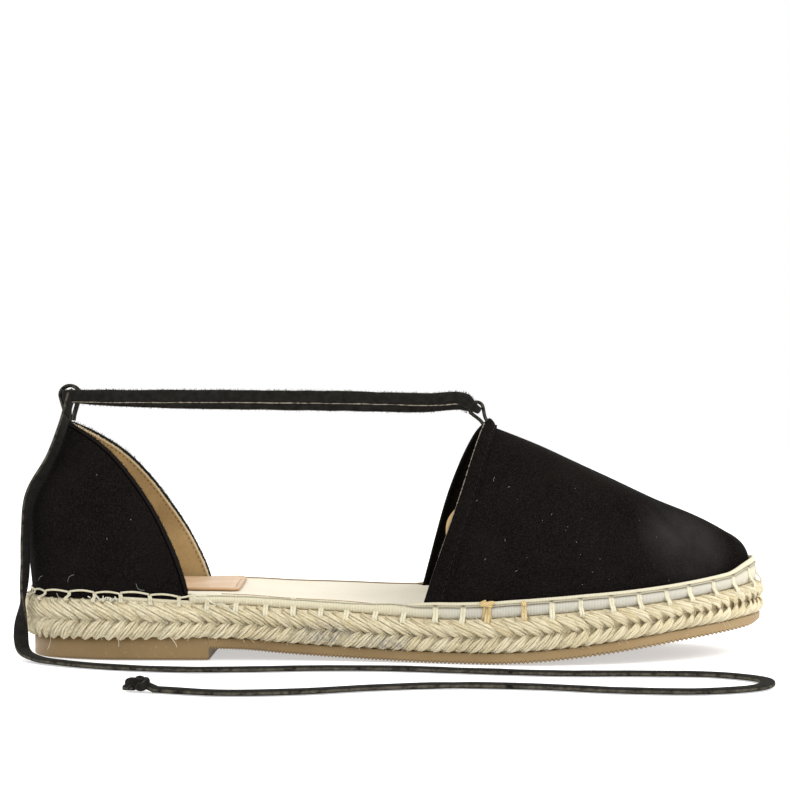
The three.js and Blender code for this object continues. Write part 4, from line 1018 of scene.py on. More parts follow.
def rubber_sole():
    length = np.linspace(0, 1, 5200)
    edges = {}
    for side in ("outer", "inner"):
        flat, out = rim(side, length)
        flat = flat - out * column(rubber_inset(flat[:, 0]))
        order = np.maximum.accumulate(flat[:, 0])
        edges[side] = (order, flat[:, 1])
    low = max(edges[s][0][0] for s in edges)
    high = min(edges[s][0][-1] for s in edges)
    ends = 2.2 * (1 - np.cos(np.linspace(0, np.pi / 2, 14)))[:-1]
    fine = np.linspace(low, high, 20000)
    ribs = np.concatenate([[0], np.cumsum(np.diff(fine) / RIB_PITCH(fine[1:]))])
    wanted = np.arange(np.interp(low + 2.2, fine, ribs), np.interp(high - 2.2, fine, ribs), 0.25)
    body = np.interp(np.round(wanted * 4) / 4, ribs, fine)
    stations = np.concatenate([low + 0.01 + ends, body, (high - 0.01 - ends)[::-1]])
    stations = np.sort(np.concatenate([stations, [BREAST_X - 0.02, BREAST_X + 0.02]]))
    y_out = np.interp(stations, *edges["outer"])
    y_in = np.interp(stations, *edges["inner"])
    phase = np.mod(np.interp(stations, fine, ribs), 1)
    tooth = np.clip(1.35 - np.abs(phase - 0.5) * 4, 0, 1)
    fade = smoothstep(stations, low + 3, low + 16) * (1 - smoothstep(stations, high - 9, high - 4))
    groove = tooth * fade
    block = stations < BREAST_X
    sheet = sheet_bottom(stations)
    foot = np.where(block, 0.0, sheet) + 1.5 * smoothstep(stations, high - 11, high) ** 2
    top = sheet + RUBBER
    # Height over the foot, how far in, and the share of the groove that is cut there.
    levels = [
        (0.0, 0.9, 1.0), (0.3, 0.3, 0.95), (0.75, 0.1, 0.55), (1.15, 0.0, 0.0), (None, 0.0, 0.0),
        ("top", 0.0, 0.0),
    ]
    rings = []
    grooves = []
    for sign, edge in ((-1, y_out), (1, y_in)):
        half = []
        for height, inset, cut in levels:
            taper = np.where(block, HEEL_TAPER, 0.0)
            if height == "top":
                z, shift = top, 0.0
            elif height is None:
                z, shift = np.maximum(foot * 0.5 + top * 0.5, foot + 1.2), taper * 0.4
            else:
                z, shift = foot + height + groove * RIB_DEPTH(stations) * cut, taper + inset * 0.6
            half.append(np.stack([stations, edge - sign * shift, z + 0 * stations], axis=1))
            grooves.append(groove * cut)
        rings.append(half)
    across = np.linspace(0, 1, 7)[1:-1]
    bottom = [mix(rings[0][0], rings[1][0], t) for t in across]
    lines = rings[0][::-1] + bottom + rings[1]
    depth = grooves[: len(levels)][::-1] + [groove] * len(bottom) + grooves[len(levels):]
    points = np.concatenate(lines)
    columns = len(stations)
    faces = grid_faces(len(lines), columns, close_rows=True)
    for end in (0, columns - 1):
        faces.append([r * columns + end for r in range(len(lines))])
    # The groove values also mark where the rubber's colour gets painted shade in the cut of each tooth.
    made = piece("rubber_sole", points, faces, RUBBER_TAN, values={"groove": np.concatenate(depth)})
    return dress(made, "rubber", "outsole")


rubber_sole()


# The braided jute: a core in painted shade, with two rows of slanting strands, each a twist of plies.
BRAID_PITCH = 4.3
BRAID_SIDE = curve_of([(0, 2.1), (0.1, 0.9), (0.25, 0.25), (0.38, 0.7), (0.46, 1.5), (0.56, 0.8), (0.72, 0.1),
                       (0.88, 0.7), (1.0, 2.2)])
VALLEY = 0.46


def jute_height(x, y, up):
    return mix(jute_bottom(x), jute_top(x, y), up)


# Hairs that are tried in all, and how many of them may stand anywhere, matted or not.
HAIRS = 3600
LOOSE_HAIRS = 1100
# How far the braid has worn into a flat, fuzzy mat, along X.
matted = curve_of([(-130, 1.0), (-90, 0.95), (-40, 0.7), (0, 0.5), (50, 0.35), (90, 0.15), (130, 0.0)])


def jute_core():
    stations = 520
    turn = np.linspace(0, 2, stations, endpoint=False)
    lines = []
    side = (
        (0, 4.4), (0, 2.6), (0.12, 1.75), (0.3, 1.3), (0.46, 2.3), (0.62, 1.2), (0.85, 1.5), (1, 2.6), (1, 7),
    )
    for up, inset in side:
        flat, _ = around(turn, inset)
        lines.append(with_height(flat, jute_height(flat[:, 0], flat[:, 1], up)))
    points = np.concatenate(lines)
    faces = grid_faces(len(lines), stations, close_columns=True)
    faces.append(list(range(stations)))
    faces.append([(len(lines) - 1) * stations + k for k in range(stations)])
    return points, faces


def jute_strands(parts):
    """Leaf-shaped strands; each dives under the next at both ends."""
    strands = int(round(PERIMETER / BRAID_PITCH))
    steps, sides, plies = 10, 5, 6
    q = np.linspace(0, 1, steps)
    angle = np.linspace(0, 2 * np.pi, sides, endpoint=False)
    rows = (
        {"from": 0.985, "to": VALLEY - 0.05, "run": 9.0, "shift": 0.0, "wide": 2.8},
        {"from": -0.04, "to": VALLEY + 0.03, "run": 7.4, "shift": 1.6, "wide": 2.6},
    )
    for row in rows:
        for k in range(strands):
            jitter = rng.normal(0, 1, 8)
            start = k * PERIMETER / strands + row["shift"] + 0.28 * jitter[0]
            run = row["run"] * (1 + 0.05 * jitter[1])
            up = mix(row["from"], row["to"] + 0.015 * jitter[2], q)
            bow = 0.35 * np.sin(np.pi * q) * (1 if row["from"] > 0.5 else -1)
            along = start + run * (q + 0.09 * np.sin(np.pi * q)) + bow
            belly = np.sin(np.pi * np.clip(q, 0.02, 0.98)) ** 0.55
            mat = float(matted(around(turn_at(along[0]))[0][0]))
            inset = BRAID_SIDE(np.clip(up, 0, 1)) + (1.25 - 0.8 * mat) * (1 - belly) + 0.08 * jitter[3]
            flat, out = around(turn_at(along), inset)
            path = with_height(flat, jute_height(flat[:, 0], flat[:, 1], up))
            tangent = tangents(path)
            outward = unit(with_height(out, 0.7 * (up - VALLEY)))
            beside = unit(np.cross(tangent, outward))
            outward = np.cross(beside, tangent)
            wide = row["wide"] * (0.42 + 0.58 * belly + 0.3 * mat) * (1 + 0.07 * jitter[4])
            twist = rng.uniform(0, 2 * np.pi)
            tone = np.clip(0.58 + 0.15 * jitter[5], 0, 1)
            soft = 0.12 + 0.45 * mat
            for ply in range(plies):
                turned = twist + 2 * np.pi * ply / plies + 1.7 * q
                place = (
                    path
                    + beside * column(np.cos(turned) * wide * 0.33)
                    + outward * column(np.sin(turned) * wide * 0.13 - 0.25)
                )
                radius = wide * (0.172 + 0.018 * rng.normal()) * (1 - 0.12 * mat)
                ring = (
                    place[:, None]
                    + beside[:, None] * (np.cos(angle)[None, :, None] * (radius * 1.05)[:, None, None])
                    + outward[:, None] * (np.sin(angle)[None, :, None] * (radius * 0.8)[:, None, None])
                )
                # Painted shade as the point value depth: low where the strand dives under the next and on
                # each ply's inner side, raised where the braid is matted.
                shade = np.clip(0.12 + soft + belly * (0.75 - soft) + 0.3 * np.sin(turned), 0, 1)
                shade = np.clip(shade[:, None] + 0.22 * np.sin(angle)[None, :], 0, 1)
                uv = np.stack(
                    np.broadcast_arrays(
                        (q * run)[:, None] + 40 * rng.uniform(),
                        np.abs(angle / np.pi - 1)[None, :] * 2 + 20 * rng.uniform(),
                    ),
                    axis=-1,
                )
                ply_tone = np.clip(tone + 0.16 * rng.normal(), 0, 1)
                faces = grid_faces(steps, sides, close_columns=True)
                faces.append(list(range(sides))[::-1])
                faces.append([(steps - 1) * sides + i for i in range(sides)])
                parts.add(ring, faces, uv=uv.reshape(-1, 2), depth=shade.ravel(), tone=ply_tone)


def jute_hairs():
    """Loose fibres that stand out of the braid, and three that hang over the rubber of the heel."""
    parts = Parts()
    q = np.linspace(0, 1, 6)
    for length, drop, drift in ((28.5, 5.2, -1.0), (53.0, 3.4, 0.7), (70.5, 3.6, 2.6)):
        flat, out = around(float(turn_at(length)), 0.3)
        root = np.array([*flat, float(jute_bottom(flat[0])) + 0.6])
        bow = np.sin(np.pi * q)[:, None] * np.array([0.5, -0.3, 0])
        path = root + q[:, None] * np.array([drift, 0, -drop]) + bow
        sweep(parts, path, UP, 0.22, 0.22, sides=4, depth=1.0, tone=1.0)
    for k in range(HAIRS):
        turn = float(rng.uniform(0, 2))
        up = float(rng.uniform(0.02, 0.98))
        if k > LOOSE_HAIRS and matted(around(turn)[0][0]) < rng.uniform(0, 0.8):
            continue
        flat, out = around(turn, float(BRAID_SIDE(up)) + 0.15)
        root = np.array([*flat, float(jute_height(flat[0], flat[1], up))])
        away = np.array([*out, 0.0]) * rng.uniform(0.15, 0.6) + unit(rng.normal(0, 1, 3)) * [0.8, 0.8, 0.7]
        away[:2] += out * max(0.0, 0.1 - float(np.dot(away[:2], out)))
        bend = rng.normal(0, 0.6, 3)
        path = root + q[:, None] * rng.uniform(1.2, 3.2) * away + (q**2)[:, None] * bend
        path[:, 2] = np.maximum(path[:, 2], 0.3)
        sweep(parts, path, UP, 0.15, 0.15, sides=3, depth=0.9, tone=rng.uniform(0.5, 1))
    return dress(parts.mesh("jute_fibres", JUTE_YARN), "jute")


def jute_braid():
    parts = Parts()
    points, faces = jute_core()
    # The core's low depth is painted shade for the gaps of the braid, lighter where the braid is matted.
    parts.add(points, faces, uv=points[:, :2], depth=0.22 + 0.6 * matted(points[:, 0]), tone=0.45)
    jute_strands(parts)
    return dress(parts.mesh("jute_braid", JUTE_YARN), "jute", "jute_midsole")


jute_braid()
jute_hairs()


# The canvas rand: a rolled strip with a lip above the stitches, and only the roll in the open waist.
def rand_height(x):
    return RAND_HEIGHT * sole["rand"](share_of_length(x))


def canvas_rand():
    stations = 620
    start = share_at_x("outer", float(collar_x("outer", COLLAR_FOOT)) + 2 * CLEARANCE, RAND_INSET)
    end = 2 - share_at_x("inner", float(collar_x("inner", COLLAR_FOOT)) + 2 * CLEARANCE, RAND_INSET)
    turn = np.linspace(start, end, stations)
    face, _ = around(turn, RAND_INSET)
    height = rand_height(face[:, 0])
    lip = smoothstep(height, 3.6, 4.9)
    low = on_jute(face[:, 0], face[:, 1])
    roll = mix(0.97, 0.68, lip)
    # Rows of inset, share of the height and painted shade, which darkens the groove between the roll and the
    # lip.
    profile = [
        (0.35, -0.05, 0), (-0.1, 0.1, 0), (-0.38, 0.32, 0), (-0.42, 0.55, 0), (-0.32, 0.76, 0),
        (0.0, 0.94, 0.15), (0.42, 1.0, 0.85),
    ]
    lines, tall, shades = [], [], []
    for inset, up, shade in profile:
        rise = height * roll * up
        flat, _ = around(turn, RAND_INSET + inset)
        lines.append(with_height(flat, low + rise))
        tall.append(rise)
        shades.append(shade * lip)
    over = (
        (0.4, 0.12, 1), (0.02, 0.34, 0.25), (-0.12, 0.6, 0), (0.12, 0.88, 0), (0.5, 1.0, 0), (0.95, 1.0, 0),
        (1.3, 0.7, 0),
    )
    for k, (inset, up, shade) in enumerate(over):
        rise = height * roll + (height * (1 - roll)) * up * np.maximum(lip, 0.05)
        flat, _ = around(turn, RAND_INSET + mix(0.5 + 0.12 * k, inset, lip))
        lines.append(with_height(flat, low + rise))
        tall.append(rise)
        shades.append(shade * lip)
    flat, _ = around(turn, RAND_INSET + RAND)
    lines.append(with_height(flat, low))
    tall.append(0 * height)
    shades.append(0 * height)
    points = np.concatenate(lines)
    rows = len(lines)
    faces = grid_faces(rows, stations, close_rows=True)
    for edge in (0, stations - 1):
        faces.append([r * stations + edge for r in range(rows)])
    length = turn_length(turn)
    uv = np.stack([np.tile(length, rows), np.concatenate(tall)], axis=1)
    warm = mix(0.95, 0.1, smoothstep(face[:, 0], -5, 30)) + 0.4 * smoothstep(face[:, 0], 104, 125)
    upper = np.concatenate([0.0 * height if k < 7 else 0.75 * lip for k in range(rows)])
    tint = np.clip(np.tile(warm, rows) + upper, 0, 0.95)
    values = {"uv": uv, "tint": tint, "groove": np.concatenate(shades)}
    return dress(piece("canvas_rand", points, faces, CANVAS, values=values), "canvas", "rand")


canvas_rand()


# Blanket stitches: upright bars over the rand, joined at their tops by a running thread.
STITCH_PITCH = 9.6
# Lengths round the rim of the bars on the outer side.
OUTER_BARS = [
    22.6, 34.5, 44.4, 53.7, 63.7, 73.4, 83.0, 92.7, 102.3, 111.3, 120.8, 129.2, 139.0, 148.4, 158.9, 168.3,
    176.5, 188.7, 198.2, 208.0, 218.6, 228.7, 239.2, 248.7, 260.0, 270.7, 281.6,
]
GLUED_BARS = (176.5, 188.7)
SUEDE_STITCH_HEIGHT = 2.0


def stitch_top(turn, wobble=0.0):
    """Where the running thread lies at a turn: inset, height."""
    flat, _ = around(turn, RAND_INSET)
    x, y = flat[..., 0], flat[..., 1]
    height = rand_height(x)
    lip = smoothstep(height, 3.6, 4.9)
    on_rand = on_jute(x, y) + height * mix(1.0, 0.72, lip)
    front = collar_front(y)
    on_suede = on_jute(x, y) + SUEDE_STITCH_HEIGHT + wobble
    over = smoothstep(x, front - 1.0, front + 2.0)
    inset = mix(QUARTER_INSET - 0.45, mix(RAND_INSET + 0.25, RAND_INSET - 0.18, lip), over)
    return inset, mix(on_suede, on_rand, over)


def blanket_stitches():
    first, last = OUTER_BARS[0], OUTER_BARS[-1]
    left = PERIMETER + first - last
    rest = int(round(left / STITCH_PITCH))
    lengths = OUTER_BARS + [last + left * k / rest + rng.normal(0, 0.25) for k in range(1, rest)]
    heel_front = float(collar_x("outer", COLLAR_FOOT))
    parts = Parts()
    for k, length in enumerate(lengths):
        turn = float(turn_at(length))
        flat, out = around(turn, 0.0)
        glued = 0.7 if length in GLUED_BARS else 0.0
        on_heel = float(flat[0] < heel_front)
        width = mix(1.7, 1.3, on_heel) * (1 + 0.06 * rng.normal())
        lean = rng.normal(0.35 * on_heel, 0.3)
        top_inset, top = stitch_top(turn)
        foot_inset = mix(-0.2, 0.5, smoothstep(flat[0], -25, 15)) + 0.1 * rng.normal()
        below = mix(2.4, 1.6, smoothstep(flat[0], -25, 15))
        foot = float(jute_top(flat[0], flat[1])) - mix(below, 0.5, on_heel) + 0.25 * rng.normal()
        rise = np.linspace(0, 1, 16)
        height = mix(foot, float(top) + 0.2, rise)
        swell = np.sin(np.pi * rise) ** 0.8
        inset = mix(foot_inset + 0.5, float(top_inset) + 0.35, smoothstep(rise, 0.15, 0.6)) - 0.62 * swell
        inset[0] += 1.1
        inset[-1] += 0.9
        place = length + lean * (1 - rise)
        aside = np.array([-out[1], out[0], 0.0])
        for ply in (-1, 1):
            where, _ = around(turn_at(place + ply * width * 0.25), inset)
            sweep(parts, with_height(where, height), aside, width * 0.56, 0.62, sides=8,
                  uv_shift=40 * rng.uniform(), amber=glued, dark=0.0)
        # In the forefoot a short dark piece at the top of each bar stands for the hole there: painted shade.
        if flat[0] > 12:
            hole, _ = around(turn_at(length + np.linspace(-0.6, 0.6, 5)), float(top_inset) - 0.05)
            hole_height = float(top) + 0.42 + 0 * hole[:, 0]
            sweep(parts, with_height(hole, hole_height), UP, 0.3, 0.3,
                  amber=0.0, dark=0.75)
        following = lengths[(k + 1) % len(lengths)] + (PERIMETER if k + 1 == len(lengths) else 0)
        gap = following - length
        reach = np.linspace(0.25, gap - 0.15, 14)
        wobble = 0.25 * rng.normal()
        arch = np.sin(np.pi * reach / gap)
        inset, height = stitch_top(turn_at(length + reach), wobble * on_heel + 0.45 * arch * on_heel)
        where, _ = around(turn_at(length + reach), inset - 0.12 + 0.2 * arch * (1 - on_heel))
        sweep(parts, with_height(where, height + 0.1 * arch), UP, mix(0.5, 0.7, on_heel), 0.55,
              sides=8, uv_shift=40 * rng.uniform(), amber=0.0, dark=0.3 * (1 - on_heel))
    return dress(parts.mesh("blanket_stitches", THREAD), "canvas")


blanket_stitches()


# Blobs of amber glue on two of the stitches, and frayed canvas and a loose thread at the heel's foot.
def near_side(length, inset):
    """A floor point at the outer side at a length round the rim, and the ways out and along there."""
    flat, out = around(float(turn_at(length)), inset)
    return np.array([*flat, 0.0]), np.array([*out, 0.0]), np.array([-out[1], out[0], 0.0])


def stitch_trimmings():
    parts = Parts()
    q = np.linspace(0, 1, 12)
    length = GLUED_BARS[0]
    centre, out, aside = near_side(length, RAND_INSET - 0.55)
    top = float(on_jute(centre[0], centre[1])) + 4.3
    for start, end, thick in (
        ((-2.6, 0.1), (2.5, 0.9), 1.7), ((-1.4, 0.8), (1.6, -0.5), 1.5), ((-0.8, 0.3), (-1.5, -5.4), 0.9),
        ((0.7, 0.2), (1.2, -5.6), 1.0), ((-2.4, 0.6), (-0.4, 1.5), 1.0),
    ):
        path = centre + out * (0.25 * np.sin(np.pi * q))[:, None]
        path = path + aside * mix(start[0], end[0], q)[:, None]
        path = path + UP * (top + mix(start[1], end[1], q))[:, None]
        size = thick * (0.55 + 0.45 * np.sin(np.pi * q)) * (1 + 0.12 * np.sin(9 * q))
        sweep(parts, path, UP, size, size * 0.8, sides=10, amber=0.9)
    centre, out, aside = near_side(GLUED_BARS[1], RAND_INSET - 0.75)
    top = float(on_jute(centre[0], centre[1])) + 4.6
    for high, low, thick in ((0.4, -1.2, 1.9), (-2.6, -5.0, 1.6)):
        path = centre + UP * (top + mix(high, low, q))[:, None]
        size = thick * (0.5 + 0.5 * np.sin(np.pi * q))
        sweep(parts, path, aside, size, 0.7, sides=10, amber=0.9)
    for _ in range(60):
        length = 50.0 + 1.5 * round(float(rng.normal(0, 1.2))) + rng.normal(0, 0.3)
        start, out, aside = near_side(length, 1.6)
        start[2] = float(jute_top(start[0], start[1])) + rng.uniform(0.0, 0.9)
        way = unit(aside * rng.normal(0, 0.8) + out * 0.5 + np.array([0, 0, rng.normal(0.1, 0.5)]))
        path = start + way * (q * rng.uniform(0.4, 1.1))[:, None] + rng.normal(0, 0.25, 3) * (q**2)[:, None]
        sweep(parts, path, UP, 0.42, 0.36, sides=5, pale=1.0)
    loose = []
    for length, rise, inset in (
        (78.0, 3.2, 2.4), (80.2, 1.9, 1.9), (82.6, 2.3, 1.2), (85.5, 0.6, 0.6), (88.6, 0.6, 0.1),
        (91.5, -1.6, -0.3), (93.4, -2.7, -0.4),
    ):
        point, out, _ = near_side(length, inset)
        point[2] = float(jute_top(point[0], point[1])) + rise
        loose.append(point)
    sweep(parts, by_length(catmull(loose, 10), step=0.4), UP, 0.36, 0.36, pale=1.0)
    dress(parts.mesh("stitch_trimmings", THREAD), "canvas")
    parts = Parts()
    turns = turn_at(np.linspace(52, 79, 90))
    flat, _ = around(turns, 2.95)
    ends = np.clip(np.minimum(np.arange(90), 89 - np.arange(90)) / 8, 0.15, 1)
    sweep(parts, laid_on(on_jute, flat, 0.2), UP, 1.6 * ends, 0.8 * ends,
          sides=10, power=2.4, tint=0.95)
    return dress(parts.mesh("heel_foot_strip", CANVAS), "canvas")


stitch_trimmings()


# The insole: narrow inside the upper pieces, wide in the open waist, with a soft edge and a thin rim line.
def insole_board():
    stations = 560
    turn = np.linspace(0, 2, stations, endpoint=False)
    base, _ = around(turn, UPPER_INSET)
    front = collar_front(base[:, 1])
    before_vamp = 1 - smoothstep(base[:, 0], THROAT_FOOT_X - 1.6, THROAT_FOOT_X - 0.6)
    open_waist = smoothstep(base[:, 0], front + 0.6, front + 1.4) * before_vamp
    heel_inset = QUARTER_INSET + WALL + INSOLE_GAP
    toe_inset = UPPER_INSET + WALL + INSOLE_GAP
    narrow = mix(heel_inset, toe_inset, smoothstep(base[:, 0], -80, 0))
    inset = mix(narrow, UPPER_INSET + 0.1, open_waist)
    lines, edge = [], []
    soft_edge = (
        (0, 0.0, 0.8), (0, 0.62, 0.7), (0.08, 0.84, 0.35), (0.3, 0.97, 0.1), (0.7, 1.0, 0), (1.6, 1.0, 0),
    )
    for extra, up, rim_line in soft_edge:
        flat, _ = around(turn, inset + extra)
        low = on_jute(flat[:, 0], flat[:, 1])
        lines.append(with_height(flat, mix(low, insole_top(flat[:, 0], flat[:, 1]), up)))
        edge.append(np.full(stations, rim_line))
    for share in (0.92, 0.8, 0.6, 0.4, 0.2):
        flat, _ = around(turn, inset + 1.6)
        spine = np.stack([flat[:, 0], 0.12 * flat[:, 1] + 2.0], axis=1)
        flat = spine + (flat - spine) * share
        hollow = 0.35 * (1 - share**2) * smoothstep(flat[:, 0], 110, 60)
        lines.append(with_height(flat, insole_top(flat[:, 0], flat[:, 1]) - hollow))
        edge.append(np.zeros(stations))
    points = np.concatenate(lines)
    faces = grid_faces(len(lines), stations, close_columns=True)
    last = (len(lines) - 1) * stations
    half = stations // 2
    for k in range(half):
        a, b = last + k, last + k + 1
        c, d = last + (stations - k - 1) % stations, last + (stations - k) % stations
        faces.append(list(dict.fromkeys([a, b, c, d])))
    faces.append(list(range(stations)))
    parts = Parts()
    turns = np.linspace(2 - share_at_x("inner", 14, 5), 2 - share_at_x("inner", -84, 5), 120)
    flat, _ = around(turns, UPPER_INSET + 0.35)
    sweep(parts, laid_on(insole_top, flat, 0.12), UP, 0.55, 0.5,
          sides=6)
    turns = np.linspace(share_at_x("outer", -58, 5), share_at_x("outer", 6, 5), 120)
    flat, _ = around(turns, UPPER_INSET + 0.9)
    sweep(parts, laid_on(insole_top, flat, 0.02), UP, 0.4, 0.4,
          sides=6)
    dress(parts.mesh("insole_edge_line", EDGE_BROWN), "insole_canvas")
    return dress(
        piece("insole_board", points, faces, INSOLE_CANVAS, values={"edge": np.concatenate(edge)}),
        "insole_canvas", "insole",
    )


insole_board()


# The leather patch on the heel of the insole, with its sewn edge; its middle is bare.
def heel_patch():
    half = PAD_WIDTH / 2
    back = PAD_BACK - HALF_LENGTH
    corner = 3.5

    def outline(count):
        arc = np.linspace(-np.pi / 2, np.pi / 2, 40)
        points = [(back + half - half * math.cos(a), PAD_MIDDLE + half * math.sin(a)) for a in arc]
        front = back + PAD_LENGTH
        for sign, start, end in ((1, np.pi / 2, 0), (-1, 0, -np.pi / 2)):
            middle_y = PAD_MIDDLE + sign * (half - corner)
            for a in np.linspace(start, end, 8):
                points.append((front - corner + corner * math.cos(a), middle_y + corner * math.sin(a)))
        return by_length(np.array(points + points[:1]), count=count + 1)[:-1]

    count = 220
    rim_points = outline(count)
    middle_x = np.clip(rim_points[:, 0], back + half, back + PAD_LENGTH - half)
    inward = unit(np.stack([middle_x, np.full(count, PAD_MIDDLE)], axis=1) - rim_points)
    lines, edge = [], []
    sewn_edge = (
        (0, 0.0, 0.9), (0, 0.6, 0.8), (0.15, 0.9, 0.55), (0.4, 1.0, 0.25), (1.3, 1.0, 0.0), (1.7, 0.72, 0.35),
        (2.1, 1.0, 0.0), (4, 1.12, 0), (9, 1.1, 0),
    )
    for inset, up, line in sewn_edge:
        flat = rim_points + inward * inset
        low = insole_top(flat[:, 0], flat[:, 1]) + CLEARANCE * 0.3
        lines.append(with_height(flat, low + PAD * up))
        edge.append(np.full(count, line))
    points = np.concatenate(lines)
    faces = grid_faces(len(lines), count, close_columns=True)
    faces.append(list(range(count)))
    faces.append([(len(lines) - 1) * count + k for k in range(count)])
    made = piece("heel_patch", points, faces, PAD_LEATHER, values={"edge": np.concatenate(edge)})
    dress(made, "pad_leather", "heel_pad")
    parts = Parts()
    sewn = rim_points + inward * 1.7
    seam = by_length(np.vstack([sewn, sewn[:1]]), step=0.3)
    stitch, skip = 8, 2
    for start in range(0, len(seam) - stitch, stitch + skip):
        flat = seam[start : start + stitch]
        low = insole_top(flat[:, 0], flat[:, 1]) + CLEARANCE * 0.3 + PAD * 0.92
        dip = -0.25 * np.abs(np.linspace(-1, 1, stitch)) ** 4
        sweep(parts, with_height(flat, low + dip), UP, 0.34, 0.42, amber=0.35)
    return dress(parts.mesh("heel_patch_stitches", THREAD), "pad_leather")


heel_patch()


# The upper: each piece is a sheet of the last's own form, thickened inwards, with a suede face and a lining.
TOP_FRONT_X = x_at(0.932)
TOE_TIP_Y = float(rim("outer", 1.0)[0][1])


def vamp_sheet(side, runs, rises):
    """Points [run, rise] of one half of the vamp, as in the part's source."""
    start = share_at_x(side, THROAT_FOOT_X, UPPER_INSET)
    run, rise = np.meshgrid(runs, rises, indexing="ij")
    base, _ = rim(side, mix(start, 1, run), UPPER_INSET)
    low = on_jute(base[..., 0], base[..., 1])
    toe = smoothstep(run, 0.72, 1)
    fullness = mix(2.05, 2.35, np.minimum(run / 0.7, 1)) + 1.7 * toe
    angle = rise * np.pi / 2
    across = 1 - np.maximum(np.cos(angle), 0) ** (2 / fullness)
    up = np.sin(angle) ** (2 / fullness)
    top_x = mix(THROAT_TOP_X, TOP_FRONT_X, run)
    top_y = mix(0.5, TOE_TIP_Y * 0.85, run)
    forward = mix(0.8 * up**0.9 + 0.2 * across, across, toe)
    bow = THROAT_MEDIAL_BACK * np.sin(2 * angle) * np.maximum(0, 1 - 3 * run) if side == "inner" else 0
    x = mix(base[..., 0], top_x, forward) - bow
    y = mix(base[..., 1], top_y, across)
    height = mix(vamp_top(top_x), vamp_top(x), toe)
    return np.stack([x, y, mix(low, height, up)], axis=-1)


def sheet_normals(points):
    """Unit normals of a grid of points [a, b]."""
    return unit(np.cross(np.gradient(points, axis=0), np.gradient(points, axis=1)))


CASING_STITCH = 5.4
HALF_VAMP = (1 - share_at_x("outer", THROAT_FOOT_X, UPPER_INSET)) * HALF_RIM["outer"]


def casing_lift(distance):
    """Height of the folded casing over the vamp, by distance from the throat edge."""
    body = CASING * (1 - smoothstep(distance, CASING_WIDTH - 0.35, CASING_WIDTH + 0.15))
    stitch_dent = 0.3 * np.exp(-(((distance - CASING_STITCH) / 0.35) ** 2))
    puff = 0.22 * np.sin(np.pi * np.clip(distance / CASING_STITCH, 0, 1))
    rolled = 0.75 * (1 - np.clip(distance / 0.9, 0, 1)) ** 2
    gutter = 0.12 * np.exp(-(((distance - CASING_WIDTH - 0.5) / 0.5) ** 2))
    return body + puff - stitch_dent - rolled - gutter


def throat_shift(side, distance, height):
    """How far back of the plain sheet the throat edge lies, most of all at the near half's foot."""
    fade = 1 - smoothstep(distance, 8, 45)
    if side == "inner":
        return 0.8 * fade * (1 - smoothstep(height, 50, 76))
    return 1.7 * fade * (1 - smoothstep(height, 22, 62))


FACING = 11.0


def vamp_upper():
    near_edge = np.concatenate([np.arange(-0.3, 9.2, 0.3), np.arange(9.6, 20, 1.1)]) / HALF_VAMP
    runs = np.concatenate([near_edge, np.linspace(near_edge[-1] + 0.012, 1, 84)])
    rises = np.linspace(0, 1, 56)
    parts = Parts()
    materials = []
    edges = {}
    for side, facing_slot in (("outer", 2), ("inner", 5)):
        points = vamp_sheet(side, runs, rises)
        normals = sheet_normals(points)
        if side == "outer":
            normals = -normals
        if normals[len(runs) // 2, 10, 1] * points[len(runs) // 2, 10, 1] < 0:
            normals = -normals
        distance = (runs * HALF_VAMP)[:, None] * np.ones_like(rises)
        lift = casing_lift(distance) * smoothstep(rises, 0, 0.05)
        lump = 1.35 * np.exp(-(((distance - 2.3) / 2.3) ** 2)) * smoothstep(rises, 0.86, 1.0)
        points = points + normals * lift[..., None] * np.where(rises > 0.985, 0.0, 1.0)[None, :, None]
        points[:, -1, 2] += casing_lift(distance)[:, -1]
        points[..., 2] += lump
        points[..., 0] -= throat_shift(side, distance, points[..., 2])
        parts.add(points, grid_faces(len(runs), len(rises)), from_edge=0.0)
        in_facing = np.repeat(distance[:-1, 0] < FACING, len(rises) - 1)
        materials.append(np.where(in_facing, facing_slot, 0))
        edges[side] = (points, normals)
    slots = [SUEDE, LINING, SUEDE, SUEDE, SUEDE, SUEDE, SUEDE, SUEDE]
    made = parts.mesh("vamp_upper", slots, np.concatenate(materials), merge=0.05)
    thicken(made)
    dress(made, "suede", "vamp")
    throat_details(*edges["outer"])


def throat_details(points, normals):
    """The pale cut edge of the near throat edge, a fold of lining behind it and the casing's stitches."""
    parts = Parts()
    edge = by_length(points[1, :53] + normals[1, :53] * 0.05, step=0.5)
    jagged = np.clip(0.24 + 0.14 * rng.normal(0, 1, len(edge)), 0.06, 0.6) * smoothstep(edge[:, 2], 26, 52)
    jagged = np.maximum(jagged, 0.03)
    sweep(parts, edge + [-0.3, 0.1, 0.0], FORWARD, jagged, jagged)
    dress(parts.mesh("throat_cut_edge", PALE_EDGE), "suede")
    parts = Parts()
    rows = slice(15, 21)
    fold = by_length(points[0, rows], count=24)
    q = np.linspace(0, 1, 24)
    width = 0.3 + 2.1 * np.sin(np.pi * q)
    sweep(parts, fold + [-0.1, 1.0, 0.0], FORWARD, width, 0.9, sides=10, power=2.2,
          from_edge=0.0, along_edge=0.0)
    dress(parts.mesh("throat_lining_fold", LINING), "suede")
    parts = Parts()
    column_at = int(np.argmin(np.abs(np.arange(-0.3, 9.2, 0.3) - CASING_STITCH)))
    seam = by_length(points[column_at, 2:54] + normals[column_at, 2:54] * 0.08, step=0.3)
    for start in range(0, len(seam) - 6, 8):
        stitch = seam[start : start + 6]
        sweep(parts, stitch, FORWARD, 0.26, 0.26)
    dress(parts.mesh("casing_stitches", BLACK_THREAD), "suede")


